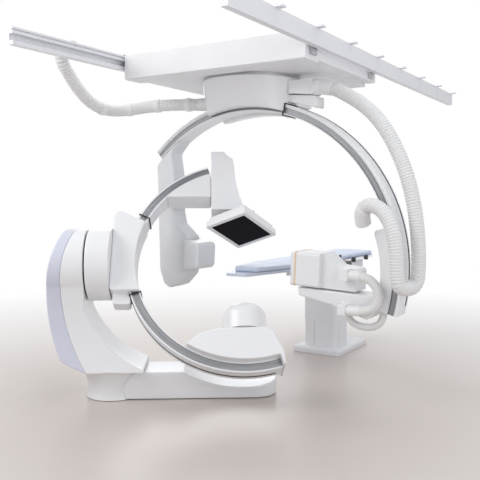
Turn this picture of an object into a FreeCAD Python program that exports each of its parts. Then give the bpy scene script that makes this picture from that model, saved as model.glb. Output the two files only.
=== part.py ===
import FreeCAD, Part
import math
import os
import re
import Sketcher

# Biplane angiography system: a floor stand with a C-arm, a second C-arm hung from
# ceiling rails, and a patient table. Millimetres, +Z up, +Y along the rails and the
# table. The origin lies on the floor, straight below the isocentre.

os.makedirs("parts", exist_ok=True)
doc = FreeCAD.newDocument("AngiographySystem")
sheet = doc.addObject("Spreadsheet::Sheet", "Sizes")

driving_sizes = {
    # whole system
    "iso_height": 1075,
    "seat_gap": 0.3,
    "running_gap": 0.05,
    "seam_gap": 2,
    # floor anchor and arm
    "stand_heading": 34.65,
    "column_reach": 1065,
    "anchor_radius": 170,
    "anchor_thick": 12,
    "anchor_circle": 280,
    "anchor_bolt_radius": 9,
    "pivot_radius": 55,
    "pivot_top": 60,
    "arm_lift": 3,
    "arm_half_width": 190,
    "arm_top": 222,
    "arm_nose": 282,
    "dish_gap": 30,
    "pedestal_foot_radius": 222,
    "pedestal_waist_radius": 212,
    "pedestal_waist_height": 90,
    "pedestal_lip_radius": 268,
    "pedestal_top": 232,
    "swivel_radius": 120,
    "swivel_bearing_radius": 150,
    "swivel_bearing_thick": 40,
    # column and roll bearing
    "column_head_radius": 295,
    "column_foot_radius": 268,
    "column_face": 1262,
    "column_back_top": 1350,
    "column_back_belly": 1441,
    "column_back_foot": 1250,
    "column_belly_height": 900,
    "column_neck_height": 720,
    "column_waist_half": 222,
    "cover_top": 1430,
    "cover_belly": 1553,
    "cover_foot": 1452,
    "cover_belly_height": 880,
    "roll_shaft_radius": 150,
    "roll_shaft_length": 62,
    "roll_flange_radius": 272,
    "barrel_start": 1250,
    "barrel_end": 1066,
    "barrel_round": 14,
    # frontal C-arm
    "roll_rest": 32,
    "ring_inner": 871,
    "ring_outer": 952,
    "ring_half_width": 83,
    "ring_first_angle": 107.5,
    "ring_last_angle": 287,
    "lip_width": 12,
    "lip_depth": 8,
    "belt_width": 24,
    "belt_thick": 4.5,
    "belt_sink": 3,
    "frontal_belt_offset": -25,
    "carriage_half_width": 128,
    "carriage_back": 1066,
    "carriage_low": -285,
    "carriage_high": 340,
    "carriage_peak_out": 1025,
    "carriage_peak": 455,
    "carriage_round": 12,
    "arc_gap": 0.5,
    "belt_channel": 8,
    "pulley_radius": 35,
    "pulley_pin_radius": 8,
    "gearbox_low": -378,
    "gearbox_out": 1040,
    "gearbox_in": 900,
    "gearbox_half_width": 62,
    # frontal detector side
    "arm_plate_low": 596,
    "arm_plate_half_width": 100,
    "mast_left": 256,
    "mast_half_width": 105,
    "mast_low": 466,
    "mast_high": 1064,
    "slide_left": 150,
    "slide_right": 70,
    "slide_half_width": 60,
    "slide_top": 740,
    "slide_room": 960,
    "detector_turn": 37.4,
    "detector_distance": 311,
    "panel_short": 334,
    "panel_long": 406,
    "panel_rim": 35,
    "rim_thick": 46,
    "detector_thick": 96,
    "detector_step": 18,
    "window_thick": 5,
    "spin_pin_radius": 45,
    "spin_pin_depth": 30,
    "neck_low": 428,
    "neck_thick": 30,
    # frontal tube side
    "tube_half_depth": 165,
    "tube_top": 612,
    "tube_unit_radius": 96,
    "tube_unit_length": 270,
    "tube_unit_distance": 742,
    "port_radius": 60,
    "dome_radius": 172,
    "dome_top": 384,
    "dome_wall": 8,
    "collimator_radius": 110,
    "collimator_height": 110,
    # lateral C-arm
    "lateral_plane": 150,
    "lateral_tilt": 2.5,
    "arc_inner": 1262,
    "arc_outer": 1340,
    "arc_half_width": 98,
    "arc_first_angle": -12,
    "arc_last_angle": 137,
    "lateral_belt_offset": -62,
    "head_top": 1500,
    "head_top_radius": 415,
    "head_half_length": 352,
    "head_half_depth": 165,
    "head_low": 1190,
    "casing_half_width": 90,
    "casing_round": 22,
    "lateral_collimator_half_width": 138,
    "lateral_tube_radius": 78,
    "lateral_tube_length": 176,
    "lateral_tube_distance": 760,
    "lateral_port_radius": 50,
    "lateral_face": 450,
    "lateral_panel_half": 132,
    "lateral_panel_depth": 150,
    "gasket_offset": 30,
    "gasket_width": 14,
    "gasket_proud": 1.5,
    "slide_line": 140,
    "slide_base_half_width": 112,
    "end_housing_inner": 1165,
    "end_housing_round": 20,
    # ceiling rails and carriage
    "rail_face": 845,
    "rail_thick": 50,
    "rail_step": 63,
    "rail_height": 120,
    "rail_near": -1600,
    "rail_far": 3020,
    "track_low": 30,
    "track_height": 46,
    "track_depth": 38,
    "tab_length": 60,
    "tab_reach": 45,
    "tab_thick": 12,
    "tab_hole_radius": 7,
    "tab_first": 687,
    "tab_pitch": 574,
    "beam_front": -503,
    "beam_back": -290,
    "beam_drop": 13,
    "beam_height": 188,
    "frame_thick": 45,
    "side_member": 74,
    "frame_end": 830,
    "rear_beam_front": 385,
    "rear_beam_back": 470,
    "rear_beam_height": 90,
    "turntable_radius": 400,
    "turntable_thick": 25,
    "kingpin_radius": 90,
    "wheel_radius": 22.7,
    "wheel_width": 26,
    "wheel_pin_radius": 8,
    "front_wheel_line": -400,
    "rear_wheel_line": 700,
    # patient table
    "table_centre": -92,
    "table_column_line": 1860,
    "plinth_line": 1980,
    "plinth_half_width": 268,
    "plinth_half_length": 390,
    "plinth_thick": 62,
    "plinth_bevel": 26,
    "plinth_bolt_half_x": 215,
    "plinth_bolt_half_y": 335,
    "plinth_bolt_radius": 8,
    "shroud_half_width": 180,
    "shroud_half_length": 168,
    "shroud_round": 40,
    "shroud_wall": 6,
    "skirt_low": 331,
    "lower_shroud_top": 385,
    "skirt_top": 842,
    "table_line": -88,
    "slide_frame_half_width": 180,
    "slide_frame_near": 1250,
    "slide_frame_far": 2450,
    "slide_frame_top": 950,
    "board_low": 962,
    "board_thick": 24,
    "board_tip_half": 100,
    "board_half_width": 233,
    "board_first_half": 160,
    "board_first_run": 290,
    "board_second_run": 610,
    "board_near": 30,
    "board_far": 2620,
    "mattress_thick": 45,
    "mattress_near": 190,
    "mattress_inset": 12,
    "guide_half_width": 16,
    "guide_offset": 110,
    "rail_bar_thick": 10,
    "rail_bar_height": 25,
    "rail_bar_near": 1150,
    "rail_bar_far": 2500,
    "control_near": 1390,
    "control_length": 230,
    "control_width": 120,
    "control_height": 48,
    "joystick_radius": 14,
    # hoses
    "socket_wall": 7,
    "socket_gap": 1.5,
    "main_hose_radius": 55,
    "supply_hose_radius": 52,
    "loop_hose_radius": 36,
    "lower_hose_radius": 28,
}
# levels of the ceiling group: the frame rests on the turntable above the swivel head
level_sizes = {
    "frame_low": "iso_height + head_top + turntable_thick",
    "frame_high": "frame_low + frame_thick",
    "beam_low": "frame_low - beam_drop",
    "beam_top": "beam_low + beam_height",
    "rear_beam_high": "frame_low + rear_beam_height",
    "rail_low": "frame_low + rail_step",
    "outlet_height": "rail_low + rail_height + tab_thick",
}
size_names = set(driving_sizes)
for row, (alias, value) in enumerate(driving_sizes.items(), start=1):
    sheet.set(f"A{row}", alias)
    sheet.set(f"B{row}", str(value))
    sheet.setAlias(f"B{row}", alias)
doc.recompute()

vector = FreeCAD.Vector
nodes = []


def linked(text):
    # an expression whose size names point at the sheet, with each level worked out from them
    def point(word):
        name = word[0]
        if name in level_sizes:
            return f"({linked(level_sizes[name])})"
        return "Sizes." + name if name in size_names else name
    return re.sub(r"[a-z][a-z_0-9]*", point, str(text))


def number(text):
    result = sheet.evalExpression(linked(text))
    return float(getattr(result, "Value", result))


def bind(thing, path, text):
    thing.setExpression(path, linked(text))


def turned_frame(axis, angle):
    return FreeCAD.Placement(vector(), FreeCAD.Rotation(axis, angle))


def shifted(along_x, along_y, along_z):
    return FreeCAD.Placement(vector(along_x, along_y, along_z), FreeCAD.Rotation())


def add_node(thing, label, frame):
    thing.Label = label
    thing.Placement = frame
    nodes.append(thing)
    return thing


def arc_through(first, middle, last):
    # counter-clockwise arc through three points, and whether it runs backwards
    circle = Part.Arc(first, middle, last).toShape().Curve
    centre = vector(circle.Center.x, circle.Center.y, 0)
    side = (middle - first).cross(last - middle).z
    start, end = (first, last) if side > 0 else (last, first)
    low = math.atan2(start.y - centre.y, start.x - centre.x)
    high = math.atan2(end.y - centre.y, end.x - centre.x)
    if high < low:
        high += 2 * math.pi
    flat_circle = Part.Circle(centre, vector(0, 0, 1), circle.Radius)
    return Part.ArcOfCircle(flat_circle, low, high), side < 0


def outline(body, plane, corners, offset="0"):
    # closed sketch; a corner is (x, y), or (x, y, mid x, mid y) where an arc follows it
    sketch = body.newObject("Sketcher::SketchObject", body.Name + "_outline")
    role = next(item for item in body.Origin.OriginFeatures if item.Role == plane)
    sketch.AttachmentSupport = [(role, "")]
    sketch.MapMode = "FlatFace"
    bind(sketch, "AttachmentOffset.Base.z", offset)
    spots = [vector(number(corner[0]), number(corner[1]), 0) for corner in corners]
    ends = []
    rules = []
    for index, corner in enumerate(corners):
        start = spots[index]
        end = spots[(index + 1) % len(spots)]
        backwards = False
        if len(corner) == 4:
            middle = vector(number(corner[2]), number(corner[3]), 0)
            shape, backwards = arc_through(start, middle, end)
            edge = sketch.addGeometry(shape, False)
            mark = sketch.addGeometry(Part.Point(middle), True)
            sketch.addConstraint(Sketcher.Constraint("PointOnObject", mark, 1, edge))
            rules.append((mark, 1, corner[2], corner[3]))
        else:
            edge = sketch.addGeometry(Part.LineSegment(start, end), False)
        ends.append((edge, 2, 1) if backwards else (edge, 1, 2))
        rules.append((edge, ends[-1][1], corner[0], corner[1]))
    for index, (edge, first, last) in enumerate(ends):
        other = ends[(index + 1) % len(ends)]
        sketch.addConstraint(Sketcher.Constraint("Coincident", edge, last, other[0], other[1]))
    for item, spot, along_x, along_y in rules:
        for kind, text in (("DistanceX", along_x), ("DistanceY", along_y)):
            rule = Sketcher.Constraint(kind, -1, 1, item, spot, number(text))
            bind(sketch, f"Constraints[{sketch.addConstraint(rule)}]", text)
    return sketch


def prism(name, corners, low, high, plane="XY_Plane"):
    # an outline padded from low to high along the plane's normal
    body = doc.addObject("PartDesign::Body", name)
    sketch = outline(body, plane, corners, low)
    pad = body.newObject("PartDesign::Pad", name + "_pad")
    pad.Profile = sketch
    bind(pad, "Length", f"({high}) - ({low})")
    sketch.Visibility = False
    doc.recompute()
    return body


def turning(name, corners, plane="XZ_Plane", axis="V_Axis", sweep="360"):
    # an outline revolved about one of its plane's axes
    body = doc.addObject("PartDesign::Body", name)
    sketch = outline(body, plane, corners)
    revolution = body.newObject("PartDesign::Revolution", name + "_turn")
    revolution.Profile = sketch
    revolution.ReferenceAxis = (sketch, [axis])
    bind(revolution, "Angle", sweep)
    doc.recompute()
    return body


def soften(body, radius, chosen):
    # fillet on the edges of the body's last feature that the rule picks
    base = body.Tip
    edges = base.Shape.Edges
    names = [f"Edge{index + 1}" for index, edge in enumerate(edges) if chosen(edge)]
    fillet = body.newObject("PartDesign::Fillet", body.Name + "_fillet")
    fillet.Base = (base, names)
    bind(fillet, "Radius", radius)
    body.Tip = fillet
    doc.recompute()
    return body


def along(edge, axis):
    # whether a straight edge runs along the axis
    if not isinstance(edge.Curve, Part.Line):
        return False
    return abs(edge.Curve.Direction.dot(axis)) > 0.999


def near_corner(edge, corners):
    # whether an edge along z stands on one of the outline's corners
    spot = edge.CenterOfMass
    return any(math.hypot(spot.x - number(x), spot.y - number(y)) < 0.5 for x, y in corners)


def corner_round(body, radius, corners):
    return soften(body, radius, lambda edge: along(edge, vector(0, 0, 1)) and near_corner(edge, corners))


def face_edges(body, levels):
    # the edges that lie wholly at one of the heights
    def chosen(edge):
        box = edge.BoundBox
        flat = box.ZLength < 0.01
        return flat and any(abs(box.ZMin - number(level)) < 0.01 for level in levels)
    return chosen


def block(name, span_x, span_y, span_z):
    box = doc.addObject("Part::Box", name)
    for side, letter, (low, high) in zip(("Length", "Width", "Height"), "xyz", (span_x, span_y, span_z)):
        bind(box, side, f"({high}) - ({low})")
        bind(box, f"Placement.Base.{letter}", low)
    return box


def drum(name, axis, across, radius, low, high):
    # a cylinder along x, y or z, from low to high
    cylinder = doc.addObject("Part::Cylinder", name)
    bind(cylinder, "Radius", radius)
    bind(cylinder, "Height", f"({high}) - ({low})")
    turns = {
        "x": FreeCAD.Rotation(vector(0, 1, 0), 90),
        "y": FreeCAD.Rotation(vector(1, 0, 0), -90),
        "z": FreeCAD.Rotation(),
    }
    cylinder.Placement = FreeCAD.Placement(vector(), turns[axis])
    spot = list(across)
    spot.insert("xyz".index(axis), low)
    for letter, text in zip("xyz", spot):
        bind(cylinder, f"Placement.Base.{letter}", text)
    return cylinder


def fused(name, *pieces):
    result = doc.addObject("Part::MultiFuse", name)
    result.Shapes = list(pieces)
    result.Refine = True
    doc.recompute()
    return result


def cut(name, base, *tools):
    tool = tools[0] if len(tools) == 1 else fused(name + "_tools", *tools)
    result = doc.addObject("Part::Cut", name)
    result.Base = base
    result.Tool = tool
    result.Refine = True
    doc.recompute()
    return result


def common(name, first, second):
    result = doc.addObject("Part::Common", name)
    result.Base = first
    result.Tool = second
    result.Refine = True
    doc.recompute()
    return result


def socket_boss(name, left, right, level, face, radius):
    # block on a near face, bored from its right end for a hose that leaves along x
    middle = f"({face} + {radius} + socket_wall)"
    body = block(name + "_block", (left, right), (f"{level} - {radius} - socket_wall",
                                                  f"{level} + {radius} + socket_wall"),
                 (f"{face} - 4", f"{face} + 2 * ({radius} + socket_wall)"))
    room = drum(name + "_room", "x", (level, middle), f"{radius} + socket_gap", f"{right} - 22",
                f"{right} + 1")
    return cut(name, body, room)


def polar(radius, angle):
    # x and y texts of a point on a circle
    return f"({radius}) * cos({angle})", f"({radius}) * sin({angle})"


def hose(name, route, radius_text, frame):
    # straight runs joined by tangent arcs that take 0.45 of the shorter run beside them
    radius = number(radius_text)
    spots = [vector(*spot) for spot in route]
    edges = []
    radii = []
    last = spots[0]
    for before, corner, after in zip(spots, spots[1:], spots[2:]):
        inward = (corner - before).normalize()
        outward = (after - corner).normalize()
        turn = inward.getAngle(outward)
        reach = 0.45 * min((corner - before).Length, (after - corner).Length)
        first = corner - inward * reach
        end = corner + outward * reach
        bend = reach / math.tan(turn / 2)
        bisector = (outward - inward).normalize()
        middle = corner + bisector * (bend / math.cos(turn / 2) - bend)
        edges.append(Part.LineSegment(last, first).toShape())
        edges.append(Part.Arc(first, middle, end).toShape())
        radii.append(round(bend))
        last = end
    edges.append(Part.LineSegment(last, spots[-1]).toShape())
    path = Part.Wire(edges)
    start = Part.Wire([Part.makeCircle(radius, spots[0], spots[1] - spots[0])])
    solid = path.makePipeShell([start], True, False)
    expected = math.pi * radius ** 2 * path.Length
    print(name, "length", round(path.Length), "radii", radii, "volume ratio",
          round(solid.Volume / expected, 4))
    feature = doc.addObject("Part::Feature", name)
    feature.Shape = solid
    return add_node(feature, name, frame)


upright = vector(0, 0, 1)
world = FreeCAD.Placement()
stand = turned_frame(upright, number("stand_heading"))
iso = shifted(0, 0, number("iso_height"))
ring = stand * iso * turned_frame(vector(1, 0, 0), 90 - number("roll_rest"))
panel = ring * turned_frame(vector(0, 1, 0), -number("detector_turn"))
lateral_iso = shifted(0, number("lateral_plane"), number("iso_height"))
head = lateral_iso * turned_frame(vector(1, 0, 0), 90)
lateral = head * turned_frame(upright, -number("lateral_tilt"))
print("stand axis", stand.Rotation.multVec(vector(1, 0, 0)))
print("ring axes", ring.Rotation.multVec(vector(0, 1, 0)), ring.Rotation.multVec(upright))

# Floor anchor: a bolted plate with the pivot post that the arm turns on
anchor_blank = turning("anchor_blank", [
    ("0", "0"),
    ("anchor_radius", "0"),
    ("anchor_radius", "anchor_thick"),
    ("pivot_radius", "anchor_thick"),
    ("pivot_radius", "pivot_top"),
    ("0", "pivot_top"),
])
anchor_bolts = []
for count in range(6):
    across = polar("anchor_circle / 2", 60 * count)
    anchor_bolts.append(drum(f"anchor_bolt_{count}", "z", across, "anchor_bolt_radius", "-1",
                             "anchor_thick + 1"))
add_node(cut("floor_anchor", anchor_blank, *anchor_bolts), "floor_anchor_plate", world)

# Floor arm: rounded nose, dished under the path of the C-arm
arm_corners = [
    ("-column_reach", "-arm_half_width"),
    ("arm_nose", "-arm_half_width"),
    ("arm_nose", "arm_half_width"),
    ("-column_reach", "arm_half_width"),
]
arm_blank = prism("arm_blank", arm_corners, "arm_lift", "arm_top")
corner_round(arm_blank, "arm_half_width - 1", arm_corners[1:3])
arm_dish = drum("arm_dish", "y", ("0", "iso_height"), "ring_outer + dish_gap", "-2 * arm_half_width",
                "2 * arm_half_width")
pedestal_corners = [
    ("0", "arm_lift"),
    ("pedestal_foot_radius", "arm_lift", "pedestal_waist_radius", "pedestal_waist_height"),
    ("pedestal_lip_radius", "pedestal_top"),
    ("0", "pedestal_top"),
]
pedestal_room_corners = [
    ("0", "0"),
    ("pedestal_foot_radius", "0"),
    ("pedestal_foot_radius", "arm_lift", "pedestal_waist_radius", "pedestal_waist_height"),
    ("pedestal_lip_radius", "pedestal_top"),
    ("0", "pedestal_top"),
]
pedestal_room = turning("pedestal_room", pedestal_room_corners)
pedestal_room.Placement = shifted(-number("column_reach"), 0, 0)
anchor_room = drum("anchor_room", "z", ("0", "0"), "anchor_radius + seam_gap", "-1",
                   "anchor_thick + seat_gap")
pivot_room = drum("pivot_room", "z", ("0", "0"), "pivot_radius + running_gap", "0", "pivot_top + seat_gap")
arm_raw = cut("arm_raw", arm_blank, arm_dish, pedestal_room, anchor_room, pivot_room)
add_node(arm_raw, "floor_arm", stand)

# Pedestal: waisted foot with the bearing that carries the column
column_spot = stand * shifted(-number("column_reach"), 0, 0)
pedestal_blank = turning("pedestal_blank", pedestal_corners)
bearing_floor = "pedestal_top - swivel_bearing_thick"
bearing_well = drum("bearing_well", "z", ("0", "0"), "swivel_bearing_radius", bearing_floor,
                    "pedestal_top + 1")
add_node(cut("pedestal_cut", pedestal_blank, bearing_well), "pedestal", column_spot)
swivel_ring = turning("swivel_ring", [
    ("swivel_radius + running_gap", bearing_floor),
    ("swivel_bearing_radius - seat_gap", bearing_floor),
    ("swivel_bearing_radius - seat_gap", "pedestal_top - seat_gap"),
    ("swivel_radius + running_gap", "pedestal_top - seat_gap"),
])
add_node(swivel_ring, "column_swivel_bearing", column_spot)

# Column: side view and front view crossed, on a round foot with its spigot
foot_level = "pedestal_top + seam_gap"
column_side = prism("column_side", [
    ("-column_back_foot", foot_level, "-column_back_belly", "column_belly_height"),
    ("-column_back_top", "iso_height + column_head_radius"),
    ("-column_face", "iso_height + column_head_radius"),
    ("-column_face", "column_neck_height", "-column_reach - 40", "0.5 * column_neck_height + 110"),
    ("-column_reach + column_foot_radius", foot_level + " + 22"),
    ("-column_reach + column_foot_radius", foot_level),
], "-column_head_radius", "column_head_radius", "XZ_Plane")
front_corners = [
    ("-column_foot_radius", foot_level, "-column_waist_half", "0.5 * iso_height + 25"),
    ("-0.86 * column_head_radius", "iso_height - 0.51 * column_head_radius", "0",
     "iso_height + column_head_radius"),
    ("0.86 * column_head_radius", "iso_height - 0.51 * column_head_radius", "column_waist_half",
     "0.5 * iso_height + 25"),
    ("column_foot_radius", foot_level),
]
column_front = prism("column_front", front_corners, "-column_reach - 700", "-column_reach + 400", "YZ_Plane")
column_shell = common("column_shell", column_side, column_front)
foot_rounder = drum("foot_rounder", "z", ("-column_reach", "0"), "column_foot_radius", foot_level,
                    foot_level + " + 22")
spigot = drum("spigot", "z", ("-column_reach", "0"), "swivel_radius", bearing_floor + " + seam_gap",
              foot_level)
shaft_room = drum("shaft_room", "x", ("0", "iso_height"), "roll_shaft_radius", "-column_face - 20",
                  "-column_face + 1")
column_whole = fused("column_whole", column_shell, foot_rounder, spigot)
add_node(cut("column_cut", column_whole, shaft_room), "column", stand)

cover_side = prism("cover_side", [
    ("-column_back_foot", foot_level, "-column_back_belly", "column_belly_height"),
    ("-column_back_top", "iso_height + column_head_radius"),
    ("-cover_top", "iso_height + column_head_radius", "-cover_belly", "cover_belly_height"),
    ("-cover_foot", "pedestal_top + 98"),
    ("-column_back_foot - 105", "pedestal_top + 46"),
], "-column_head_radius", "column_head_radius", "XZ_Plane")
soften(cover_side, "48", lambda edge: along(edge, vector(0, 1, 0))
       and edge.CenterOfMass.x < -number("cover_top") + 1
       and edge.CenterOfMass.z > number("iso_height"))
cover_front = prism("cover_front", front_corners, "-column_reach - 700", "-column_reach + 400", "YZ_Plane")
foot_room = drum("foot_room", "z", ("-column_reach", "0"), "column_foot_radius + seam_gap", "0",
                 foot_level + " + 22 + seam_gap")
cover_shell = common("cover_shell", cover_side, cover_front)
add_node(cut("column_cover", cover_shell, foot_room), "column_back_cover", stand)

# Roll bearing: flange on the column's face, shaft through it into the barrel
roll_bearing = turning("roll_bearing", [
    ("-column_face - 20", "0"),
    ("-column_face - 20", "roll_shaft_radius"),
    ("-column_face", "roll_shaft_radius"),
    ("-column_face", "roll_flange_radius"),
    ("-barrel_start - seat_gap", "roll_flange_radius"),
    ("-barrel_start - seat_gap", "roll_shaft_radius"),
    ("-barrel_start + roll_shaft_length", "roll_shaft_radius"),
    ("-barrel_start + roll_shaft_length", "0"),
], "XY_Plane", "H_Axis")
add_node(roll_bearing, "roll_bearing", stand * iso)

barrel = turning("barrel", [
    ("-barrel_start", "roll_shaft_radius + running_gap"),
    ("-barrel_start", "column_head_radius"),
    ("-barrel_end", "column_head_radius"),
    ("-barrel_end", "0"),
    ("-barrel_start + roll_shaft_length + seam_gap", "0"),
    ("-barrel_start + roll_shaft_length + seam_gap", "roll_shaft_radius + running_gap"),
], "XY_Plane", "H_Axis")


def barrel_rim(edge):
    box = edge.BoundBox
    return abs(box.XMin + number("barrel_start")) < 0.01 and box.YLength > 1.9 * number("column_head_radius")


soften(barrel, "barrel_round", barrel_rim)
add_node(barrel, "roll_barrel", ring)


def arc_section(inner, outer, half_width, belt_offset):
    # extruded section: lips at both rims, a rib in the recess and a groove for the belt
    deep = f"{half_width} - lip_depth"
    mid_low = f"0.5 * ({inner} + {outer}) - 3"
    mid_high = f"0.5 * ({inner} + {outer}) + 3"
    belt_floor = f"{outer} - belt_sink"
    low_side = [
        (inner, f"-{half_width}"),
        (f"{inner} + lip_width", f"-{half_width}"),
        (f"{inner} + lip_width", f"-({deep})"),
        (mid_low, f"-({deep})"),
        (mid_low, f"-({deep}) - 4"),
        (mid_high, f"-({deep}) - 4"),
        (mid_high, f"-({deep})"),
        (f"{outer} - lip_width", f"-({deep})"),
        (f"{outer} - lip_width", f"-{half_width}"),
        (outer, f"-{half_width}"),
    ]
    belt_groove = [
        (outer, f"{belt_offset} - belt_width / 2"),
        (belt_floor, f"{belt_offset} - belt_width / 2"),
        (belt_floor, f"{belt_offset} + belt_width / 2"),
        (outer, f"{belt_offset} + belt_width / 2"),
    ]
    high_side = [(along_r, f"-({along_z})") for along_r, along_z in reversed(low_side)]
    return low_side + belt_groove + high_side


def c_arc(name, inner, outer, half_width, belt_offset, first, last, frame):
    sweep = f"{last} - ({first})"
    start = turned_frame(upright, number(first))
    arc = turning(name + "_section", arc_section(inner, outer, half_width, belt_offset), sweep=sweep)
    add_node(arc, name, frame * start)
    belt = turning(name + "_belt_section", [
        (f"{outer} - belt_sink", f"{belt_offset} - belt_width / 2 + seat_gap"),
        (f"{outer} - belt_sink + belt_thick", f"{belt_offset} - belt_width / 2 + seat_gap"),
        (f"{outer} - belt_sink + belt_thick", f"{belt_offset} + belt_width / 2 - seat_gap"),
        (f"{outer} - belt_sink", f"{belt_offset} + belt_width / 2 - seat_gap"),
    ], sweep=f"{sweep} - 6")
    add_node(belt, name + "_belt", frame * turned_frame(upright, number(first) + 3))


def arc_room(name, inner, outer, half_width, belt_offset):
    # the slot that a C-arc runs in, with a deeper channel for its belt
    return turning(name, [
        (f"{inner} - 60", f"-{half_width} - arc_gap"),
        (f"{outer} + arc_gap", f"-{half_width} - arc_gap"),
        (f"{outer} + arc_gap", f"{belt_offset} - belt_width / 2 - 4"),
        (f"{outer} + belt_channel", f"{belt_offset} - belt_width / 2 - 4"),
        (f"{outer} + belt_channel", f"{belt_offset} + belt_width / 2 + 4"),
        (f"{outer} + arc_gap", f"{belt_offset} + belt_width / 2 + 4"),
        (f"{outer} + arc_gap", f"{half_width} + arc_gap"),
        (f"{inner} - 60", f"{half_width} + arc_gap"),
    ])


def pulley_place(outer, angle):
    # centre of a pulley whose rim rides on the belt
    return polar(f"{outer} - belt_sink + belt_thick + pulley_radius + seat_gap", angle)


# Frontal C-arc, its belt, and the carriage that grips it
c_arc("frontal_arc", "ring_inner", "ring_outer", "ring_half_width", "frontal_belt_offset",
      "ring_first_angle", "ring_last_angle", ring)


def drive_pulley(name, outer, angle, belt_offset, frame):
    wheel = turning(name + "_turned", [
        ("pulley_pin_radius + running_gap", "-belt_width / 2"),
        ("pulley_radius", "-belt_width / 2"),
        ("pulley_radius", "belt_width / 2"),
        ("pulley_pin_radius + running_gap", "belt_width / 2"),
    ])
    across = pulley_place(outer, angle)
    add_node(wheel, name, frame * shifted(number(across[0]), number(across[1]), number(belt_offset)))


def pulley_rooms(name, outer, angle, belt_offset):
    # the pocket for a pulley and the pin that stays standing in it
    across = pulley_place(outer, angle)
    low = f"{belt_offset} - belt_width / 2 - 4"
    high = f"{belt_offset} + belt_width / 2 + 4"
    room = drum(name + "_room", "z", across, "pulley_radius + 3", low, high)
    pin = drum(name + "_pin", "z", across, "pulley_pin_radius", low, high)
    return room, pin


carriage_corners = [
    ("-carriage_back", "carriage_low"),
    ("-0.8 * ring_inner", "carriage_low"),
    ("-0.8 * ring_inner", "carriage_high - 54"),
    ("-carriage_peak_out", "carriage_peak"),
    ("-carriage_back", "carriage_peak - 70"),
]
carriage_blank = prism("carriage_blank", carriage_corners, "-carriage_half_width", "carriage_half_width")
corner_round(carriage_blank, "3 * carriage_round", [carriage_corners[0], carriage_corners[3],
                                                    carriage_corners[4]])
carriage_faces = ["carriage_half_width", "-carriage_half_width"]
soften(carriage_blank, "carriage_round", face_edges(carriage_blank, carriage_faces))
ring_bore = drum("ring_bore", "z", ("0", "0"), "ring_inner", "-2 * carriage_half_width",
                 "2 * carriage_half_width")
ring_room = arc_room("ring_room", "ring_inner", "ring_outer", "ring_half_width", "frontal_belt_offset")
frontal_pulley_room, frontal_pulley_pin = pulley_rooms("frontal_pulley", "ring_outer", "180",
                                                       "frontal_belt_offset")
carriage_hollow = cut("carriage_hollow", carriage_blank, ring_bore, ring_room, frontal_pulley_room)
add_node(fused("carriage_whole", carriage_hollow, frontal_pulley_pin), "arc_carriage", ring)
drive_pulley("frontal_drive_pulley", "ring_outer", "180", "frontal_belt_offset", ring)

gearbox_corners = [
    ("-gearbox_out", "gearbox_low"),
    ("-gearbox_in", "gearbox_low"),
    ("-gearbox_in", "carriage_low"),
    ("-gearbox_out", "carriage_low"),
]
gearbox_blank = prism("gearbox_blank", gearbox_corners, "-gearbox_half_width", "gearbox_half_width")
corner_round(gearbox_blank, "2 * carriage_round", gearbox_corners[:2])
gearbox_relief = drum("gearbox_relief", "z", ("0", "0"), "ring_outer + belt_channel", "-carriage_half_width",
                      "carriage_half_width")
add_node(cut("gearbox_cut", gearbox_blank, gearbox_relief), "orbit_gearbox", ring)

# Detector arm inside the top of the C-arc, and the mast at its end
plate_radius = "(ring_inner - seat_gap)"
arm_plate = prism("arm_plate", [
    ("-mast_left - 6", "arm_plate_low"),
    ("-mast_left - 6", f"sqrt({plate_radius} ^ 2 - (mast_left + 6) ^ 2)", *polar(plate_radius, "121")),
    (f"-sqrt({plate_radius} ^ 2 - arm_plate_low ^ 2)", "arm_plate_low"),
], "-arm_plate_half_width", "arm_plate_half_width")
arm_flange = block("arm_flange", ("-mast_left - 7", "-mast_left"),
                   ("arm_plate_low + 10", "arm_plate_low + 200"),
                   ("-arm_plate_half_width + 12", "arm_plate_half_width - 12"))
add_node(fused("detector_arm", arm_plate, arm_flange), "frontal_detector_arm", ring)

mast_corners = [
    ("-mast_left", "mast_low"),
    ("-mast_left", "mast_high"),
    ("-mast_left + 116", "mast_high"),
    ("-mast_left + 138", "mast_high - 34"),
    ("-mast_left + 190", "mast_high - 76"),
    ("-mast_left + 202", "mast_high - 150", "-mast_left + 226", "mast_low + 210"),
    ("-mast_left + 262", "mast_low + 71", "-mast_left + 290", "mast_low + 24"),
    ("-mast_left + 336", "mast_low"),
]
mast_blank = prism("mast_blank", mast_corners, "-mast_half_width", "mast_half_width")
corner_round(mast_blank, "18", mast_corners[1:5])
mast_channel = block("mast_channel", ("-slide_left - running_gap", "-slide_right + running_gap"),
                     ("mast_low - 1", "slide_room"),
                     ("-slide_half_width - running_gap", "slide_half_width + running_gap"))
add_node(cut("mast_cut", mast_blank, mast_channel), "frontal_mast", ring)

slide_bar = block("slide_bar", ("-slide_left", "-slide_right"), ("neck_low + neck_thick - 1", "slide_top"),
                  ("-slide_half_width", "slide_half_width"))
neck_corners = [
    ("-slide_left - 20", "neck_low"),
    ("slide_left - 40", "neck_low"),
    ("slide_left - 40", "neck_low + neck_thick"),
    ("-slide_left - 20", "neck_low + neck_thick"),
]
neck_plate = prism("neck_plate", neck_corners, "-mast_half_width + 10", "mast_half_width - 10")
corner_round(neck_plate, "10", neck_corners)
spin_floor = "detector_distance + detector_thick"
spin_pin = drum("spin_pin", "y", ("0", "0"), "spin_pin_radius", f"{spin_floor} - spin_pin_depth + seam_gap",
                "neck_low + 1")
spin_collar = drum("spin_collar", "y", ("0", "0"), "2 * spin_pin_radius", f"{spin_floor} + seat_gap",
                   "neck_low + 1")
add_node(fused("lift_slide", slide_bar, neck_plate, spin_pin, spin_collar), "frontal_lift_slide", ring)

# Flat detector: window in a stepped housing, turned about the beam
half_short = "(panel_short / 2 + panel_rim)"
half_long = "(panel_long / 2 + panel_rim)"


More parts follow.
